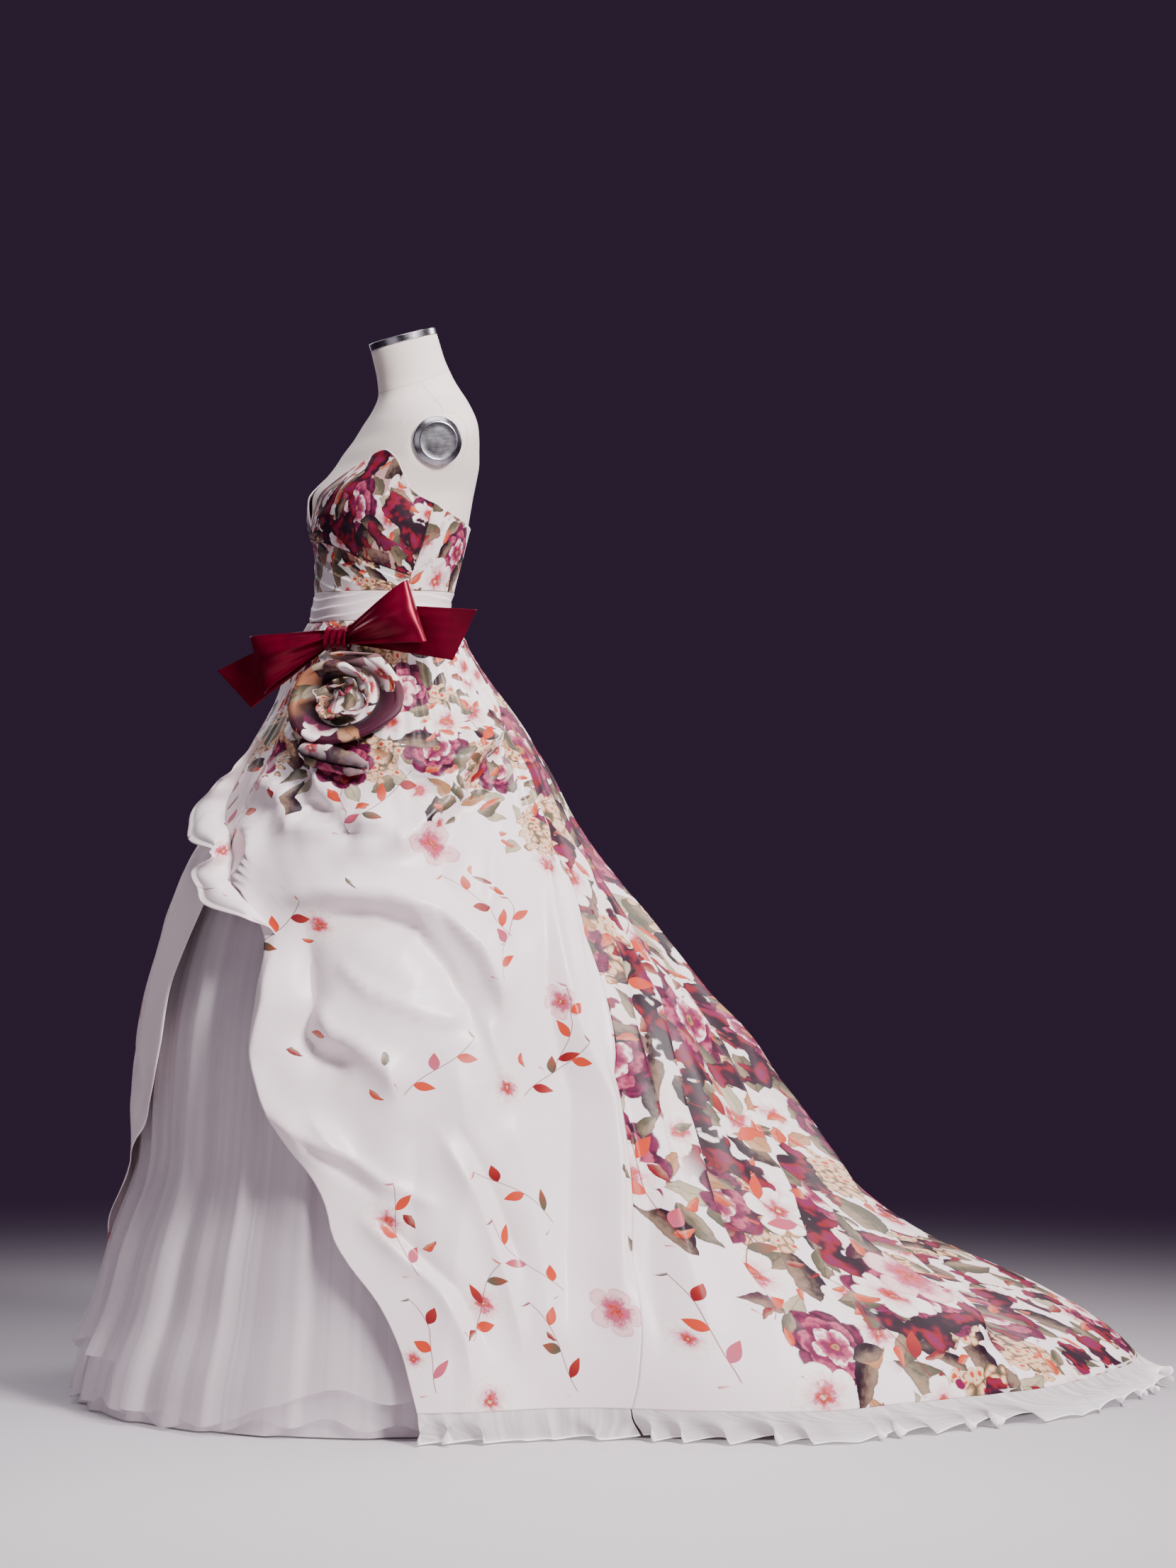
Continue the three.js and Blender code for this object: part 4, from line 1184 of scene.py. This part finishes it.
        return g.blend(g.calc("MULTIPLY", leaf, ok), colour, paint)

    sages = [(0.0, tones["sage"]), (0.4, tones["sagePale"]), (0.7, tones["tan"]),
             (0.86, tones["aubergine"])]
    darks = [(0.0, tones["aubergine"]), (0.58, tones["sage"]), (0.76, tones["plum"])]
    tans = [(0.0, tones["coral"]), (0.10, tones["tanPale"]), (0.38, tones["tanPale"]),
            (0.56, tones["tan"]), (0.75, tones["sage"])]
    colour = leaves(colour, 21.0, (0.0, 0.0, 0.0), 0.030, 0.0125, sages, 0.85)
    colour = leaves(colour, 14.0, (3.3, 6.1, 0.0), 0.038, 0.0155, darks, 0.85)
    colour = blossoms(colour, 10.0, (7.7, 4.1, 0.0), 0.036, 5, 0.75)
    colour = clusters(colour, 6.2, (0.41, 0.13, 0.0), 0.052, 88.0, tans, 0.9)
    colour = peonies(colour, 6.0, (5.2, 1.3, 0.0), 0.056, 1.0)
    colour = leaves(colour, 19.0, (1.37, 8.55, 0.0), 0.026, 0.0105, sages, 0.5)
    colour = leaves(colour, 11.0, (6.37, 2.05, 0.0), 0.036, 0.0140, darks[:2], 0.5)
    colour = blossoms(colour, 8.0, (2.2, 3.3, 0.0), 0.036, 5, 0.75, 0.14)
    colour = leaves(colour, 30.0, (4.1, 2.9, 0.0), 0.014, 0.0052,
                    [(0.0, tones["coral"]), (0.6, tones["red"]), (0.8, tones["sage"])], 0.5, 0.03)
    blot = g.calc("ADD", g.noise(where, 19, 3), g.calc("MULTIPLY_ADD", given["Deep"], 0.15, -0.05))
    dark = g.calc("MULTIPLY", g.step(blot, 0.575, 0.60), g.step(tinted, 0.7, 0.95))
    dark = g.calc("MULTIPLY", dark, g.calc("MULTIPLY", given["Deep"], 3.0, clamp=True))
    colour = g.blend(dark, colour, g.ramp(g.noise(where, 38, 2), [
        (0.47, tones["aubergine"]), (0.55, tones["plum"]), (0.62, tones["red"]),
        (0.70, tones["magenta"])]))
    colour = blossoms(colour, 5.3, (8.8, 0.7, 0.0), 0.040, 5, 0.0, 0.38, "blush", "rose")
    colour = sprigs(colour, 4.6, (9.1, 2.4, 0.0), given["Sparse"])
    colour = sprigs(colour, 3.7, (2.9, 5.8, 0.0), given["Sparse"])
    g.put(out["Color"], colour)
    return g.tree


def makeWeaveGroup():
    g, given, out = newGroup("weave", [("Map", "Vector"), ("Threads", "Float")],
                             [("Height", "Float")])
    parts = g.add("SeparateXYZ", {0: g.vector("SCALE", given["Map"], scale=given["Threads"])}).outputs
    across = g.calc("SINE", parts[0])
    down = g.calc("SINE", parts[1])
    g.put(out["Height"], g.calc("MULTIPLY", across, down))
    return g.tree


printGroup = makePrintGroup()
weaveGroup = makeWeaveGroup()
silk = {"threads": 5200, "rumple": 9.0, "rumpleDepth": 0.006}
# bright and dark are a lit and a shaded tone of the one crimson, mixed as painted sheen and shade
satin = {"bright": (0.112, 0.0005, 0.012), "dark": (0.046, 0.0002, 0.006), "shine": (1.0, 0.12, 0.20),
         "threads": 6800}
cover = {"pale": (0.87, 0.765, 0.715), "worn": (0.81, 0.70, 0.65)}
steel = {"dark": (0.33, 0.32, 0.35), "pale": (0.44, 0.43, 0.46)}


def silkMaterial(name, slope=(0, 0), base=0.0, sparse=0.0, deep=0.0, ground=None,
                 roughness=0.5, sheen=0.03, weave=0.05, paintedShadeBelow=None, strip=None, size=1.0,
                 gloss=0.28):
    # size enlarges the print; strip gives ground colours along the length of a rolled strip
    ground = ground or printLook["ground"]
    mat = plainMaterial(name, ground, roughness)
    g = Graph(mat.node_tree)
    shader = mat.node_tree.nodes["Principled BSDF"]
    where = g.add("UVMap").outputs[0]
    flowers = mat.node_tree.nodes.new("ShaderNodeGroup")
    flowers.node_tree = printGroup
    flat = g.vector("SCALE", where, scale=1 / size)
    under = ground
    if strip:
        under = g.ramp(g.add("SeparateXYZ", {0: where}).outputs[0], strip)
    for label, value in (("Map", flat), ("Slope", (slope[0] * size, slope[1] * size, 0)),
                         ("Base", base), ("Sparse", sparse), ("Deep", deep), ("Ground", under)):
        g.put(flowers.inputs[label], value)
    colour = flowers.outputs["Color"]
    # painted shade: the lower part of a rolled strip darkens towards aubergine, standing for the shade
    # deep inside the rosette
    if paintedShadeBelow:
        height = g.add("SeparateXYZ", {0: where}).outputs[1]
        colour = g.blend(g.step(height, 0.0, paintedShadeBelow, 0.0, 0.95), colour,
                         printLook["aubergine"])
    g.put(shader.inputs["Base Color"], colour)
    shader.inputs["Sheen Weight"].default_value = sheen
    shader.inputs["Specular IOR Level"].default_value = gloss
    rumple = g.add("TexNoise", {"Vector": where, "Scale": silk["rumple"], "Detail": 2.5}).outputs[0]
    soft = g.add("Bump", {"Strength": 0.5, "Distance": silk["rumpleDepth"],
                          "Height": rumple}).outputs[0]
    addWeave(g, shader, where, silk["threads"], weave, soft)
    return mat


def addWeave(g, shader, where, threads, strength, under=None):
    group = g.tree.nodes.new("ShaderNodeGroup")
    group.node_tree = weaveGroup
    g.put(group.inputs["Map"], where)
    group.inputs["Threads"].default_value = threads
    bumpNode = g.add("Bump", {"Strength": strength, "Distance": 0.0002,
                              "Height": group.outputs["Height"]})
    if under:
        g.put(bumpNode.inputs["Normal"], under)
    g.put(shader.inputs["Normal"], bumpNode.outputs[0])


def sheerMaterial(name, colour, alpha, lines, rim=0.0, paintedGlow=0.0):
    # rim is the width of the stitched lower edge, in metres; the glow is painted light, an emission
    # that stands for light let through
    mat = plainMaterial(name, colour, 0.7)
    g = Graph(mat.node_tree)
    shader = mat.node_tree.nodes["Principled BSDF"]
    where = g.add("UVMap").outputs[0]
    streak = g.noise(g.vector("MULTIPLY", where, (lines, 0.15, 0)), 1.0, 3)
    veil = g.step(streak, 0.35, 0.7, min(1.0, alpha + 0.12), max(0.0, alpha - 0.06))
    if rim:
        height = g.add("SeparateXYZ", {0: where}).outputs[1]
        veil = g.calc("MAXIMUM", veil, g.step(height, rim, rim * 1.3, 0.0, 0.95))
    g.put(shader.inputs["Alpha"], veil)
    shader.inputs["Sheen Weight"].default_value = 0.3
    # painted light: the sheer glows with its own colour
    shader.inputs["Emission Color"].default_value = (*colour, 1)
    shader.inputs["Emission Strength"].default_value = paintedGlow
    return mat


def satinMaterial():
    mat = plainMaterial("crimsonSatin", (0.11, 0.0005, 0.010), 0.30)
    g = Graph(mat.node_tree)
    shader = mat.node_tree.nodes["Principled BSDF"]
    where = g.add("UVMap").outputs[0]
    # painted sheen and shade: a random cloud of lighter and darker crimson stands for the satin's
    # highlights and shaded folds
    paintedSheen = g.step(g.noise(where, 24, 2), 0.35, 0.7, 0.6)
    g.put(shader.inputs["Base Color"], g.blend(paintedSheen, satin["bright"], satin["dark"]))
    g.put(shader.inputs["Specular Tint"], satin["shine"])
    shader.inputs["Specular IOR Level"].default_value = 0.7
    addWeave(g, shader, where, satin["threads"], 0.04)
    return mat


def coverMaterial():
    mat = plainMaterial("formCover", (0.80, 0.72, 0.69), 0.75)
    g = Graph(mat.node_tree)
    shader = mat.node_tree.nodes["Principled BSDF"]
    where = g.add("TexCoord").outputs["Object"]
    fine = g.add("TexNoise", {"Vector": where, "Scale": 900.0, "Detail": 2.0}).outputs[0]
    worn = g.add("TexNoise", {"Vector": where, "Scale": 14.0, "Detail": 4.0}).outputs[0]
    g.put(shader.inputs["Base Color"], g.blend(g.step(worn, 0.3, 0.75, 0.5), cover["pale"],
                                               cover["worn"]))
    g.put(shader.inputs["Normal"], g.add("Bump", {"Strength": 0.12, "Distance": 0.0004,
                                                  "Height": fine}).outputs[0])
    return mat


def steelMaterial():
    mat = plainMaterial("brushedSteel", (0.20, 0.19, 0.21), 0.26, 1.0)
    g = Graph(mat.node_tree)
    shader = mat.node_tree.nodes["Principled BSDF"]
    where = g.add("TexCoord").outputs["Object"]
    brushed = g.vector("MULTIPLY", where, (900.0, 40.0, 900.0))
    streak = g.add("TexNoise", {"Vector": brushed, "Scale": 1.0, "Detail": 3.0}).outputs[0]
    smear = g.add("TexNoise", {"Vector": where, "Scale": 90.0, "Detail": 4.0}).outputs[0]
    g.put(shader.inputs["Roughness"], g.calc("MULTIPLY_ADD", g.calc("ADD", streak, smear), 0.12, 0.14))
    g.put(shader.inputs["Base Color"], g.blend(g.step(smear, 0.4, 0.7, 0.6), steel["dark"],
                                               steel["pale"]))
    return mat


white = (0.94, 0.805, 0.83)
fabrics = {
    "bodice": silkMaterial("bodicePrint", base=1.3, deep=0.95, ground=(0.52, 0.30, 0.28), size=0.85),
    "midriff": silkMaterial("midriffPrint", base=0.85, sparse=0.3, deep=0.3, size=0.85),
    "bodiceSide": silkMaterial("bodiceSidePrint", base=0.8, sparse=0.5, deep=0.25, ground=white),
    "train": silkMaterial("trainPrint", base=1.2, deep=0.38, ground=white, roughness=0.46,
                          size=1.5),
    "trainNear": silkMaterial("trainNearPrint", (3.4, 1.6), 0.36, 0.9, 0.40, white, 0.46,
                              size=1.5),
    "trainFar": silkMaterial("trainFarPrint", (-3.4, 1.6), 0.36, 0.9, 0.40, white, 0.46,
                             size=1.5),
    # the rosette's strip gets painted shade along its lower edge
    "swirl": silkMaterial("rosettePrint", base=0.62, deep=0.75, gloss=0.2, paintedShadeBelow=0.031, strip=[
        (0.0, (0.03, 0.003, 0.012)), (0.13, (0.72, 0.48, 0.50)), (0.19, (0.22, 0.03, 0.07)),
        (0.28, (0.05, 0.004, 0.02)), (0.35, (0.34, 0.11, 0.05)), (0.45, (0.42, 0.16, 0.07)),
        (0.49, (0.030, 0.0005, 0.011)), (0.66, (0.060, 0.0008, 0.020)), (0.74, (0.62, 0.36, 0.38))]),
    "nearPanel": silkMaterial("nearPanelPrint", (1.6, 7.0), -6.45, 0.8, 0.0, white, 0.36,
                              gloss=0.42),
    "farPanel": silkMaterial("farPanelPrint", (-0.8, 7.0), -6.6, 0.7, 0.0, white, 0.42),
    "plain": silkMaterial("plainSilk", ground=white, roughness=0.46),
    "cascade": silkMaterial("cascadePrint", sparse=0.9, ground=white, roughness=0.40, gloss=0.4),
    "organza": sheerMaterial("organza", (0.80, 0.70, 0.75), 0.76, 18),
    "tulle": sheerMaterial("tulle", (0.84, 0.75, 0.80), 0.36, 30),
    # the frill gets a painted glow
    "frill": sheerMaterial("organzaFrill", (0.97, 0.89, 0.90), 0.55, 60, 0.0024, 0.13),
    "satin": satinMaterial(),
    "cover": coverMaterial(),
    "seam": plainMaterial("coverSeam", (0.66, 0.56, 0.52), 0.8),
    "steel": steelMaterial(),
    "stand": plainMaterial("standPaint", (0.25, 0.25, 0.27), 0.4, 0.6),
}
print("materials ready")


finishPiece(makeForm(), fabrics["cover"], "form_torso")
for seam in makeFormSeams():
    finishPiece(seam, fabrics["seam"], None)
for node, piece in makeHardware().items():
    slot = "stand" if node.startswith("stand") else "steel"
    finishPiece(piece, fabrics[slot], node)
print("form ready")

bodiceMade = makeBodice()
pipingMade = makePiping()
for piece in pipingMade.values():
    finishPiece(piece, fabrics["plain"], None)
for key, fabric, node in (("cupLeft", "bodice", "bodice_cup_left"),
                          ("cupRight", "bodice", "bodice_cup_right"),
                          ("backLeft", "bodiceSide", "bodice_back_left"),
                          ("backRight", "bodiceSide", "bodice_back_right"),
                          ("midriff", "midriff", "bodice_midriff")):
    finishCloth(bodiceMade[key], fabrics[fabric], node)
finishCloth(bodiceMade["band"], fabrics["plain"], "waist_band")
print("bodice ready")

panels = makePanels()
for key, fabric, node, slot in (("left", "nearPanel", "overskirt_left", "white_silk"),
                                ("right", "farPanel", "overskirt_right", "white_silk"),
                                ("trainLeft", "trainNear", "train_left", "print_silk"),
                                ("trainCentre", "train", "train_centre", "print_silk"),
                                ("trainRight", "trainFar", "train_right", "print_silk")):
    finishCloth(panels[key], fabrics[fabric], node)
for name, piece in makeNets().items():
    net = nets[name]
    finishCloth(piece, fabrics[net["slot"]], net["node"])
for name, piece in makeFrills().items():
    finishCloth(piece, fabrics["frill"], frills[name]["node"])
print("skirt ready")

for node, piece in makeRosette().items():
    finishCloth(piece, fabrics["swirl"], node)
finishCloth(makeCascade(), fabrics["cascade"], "front_cascade")
for node, piece in makeBow().items():
    finishCloth(piece, fabrics["satin"], node)
print("trimmings ready")
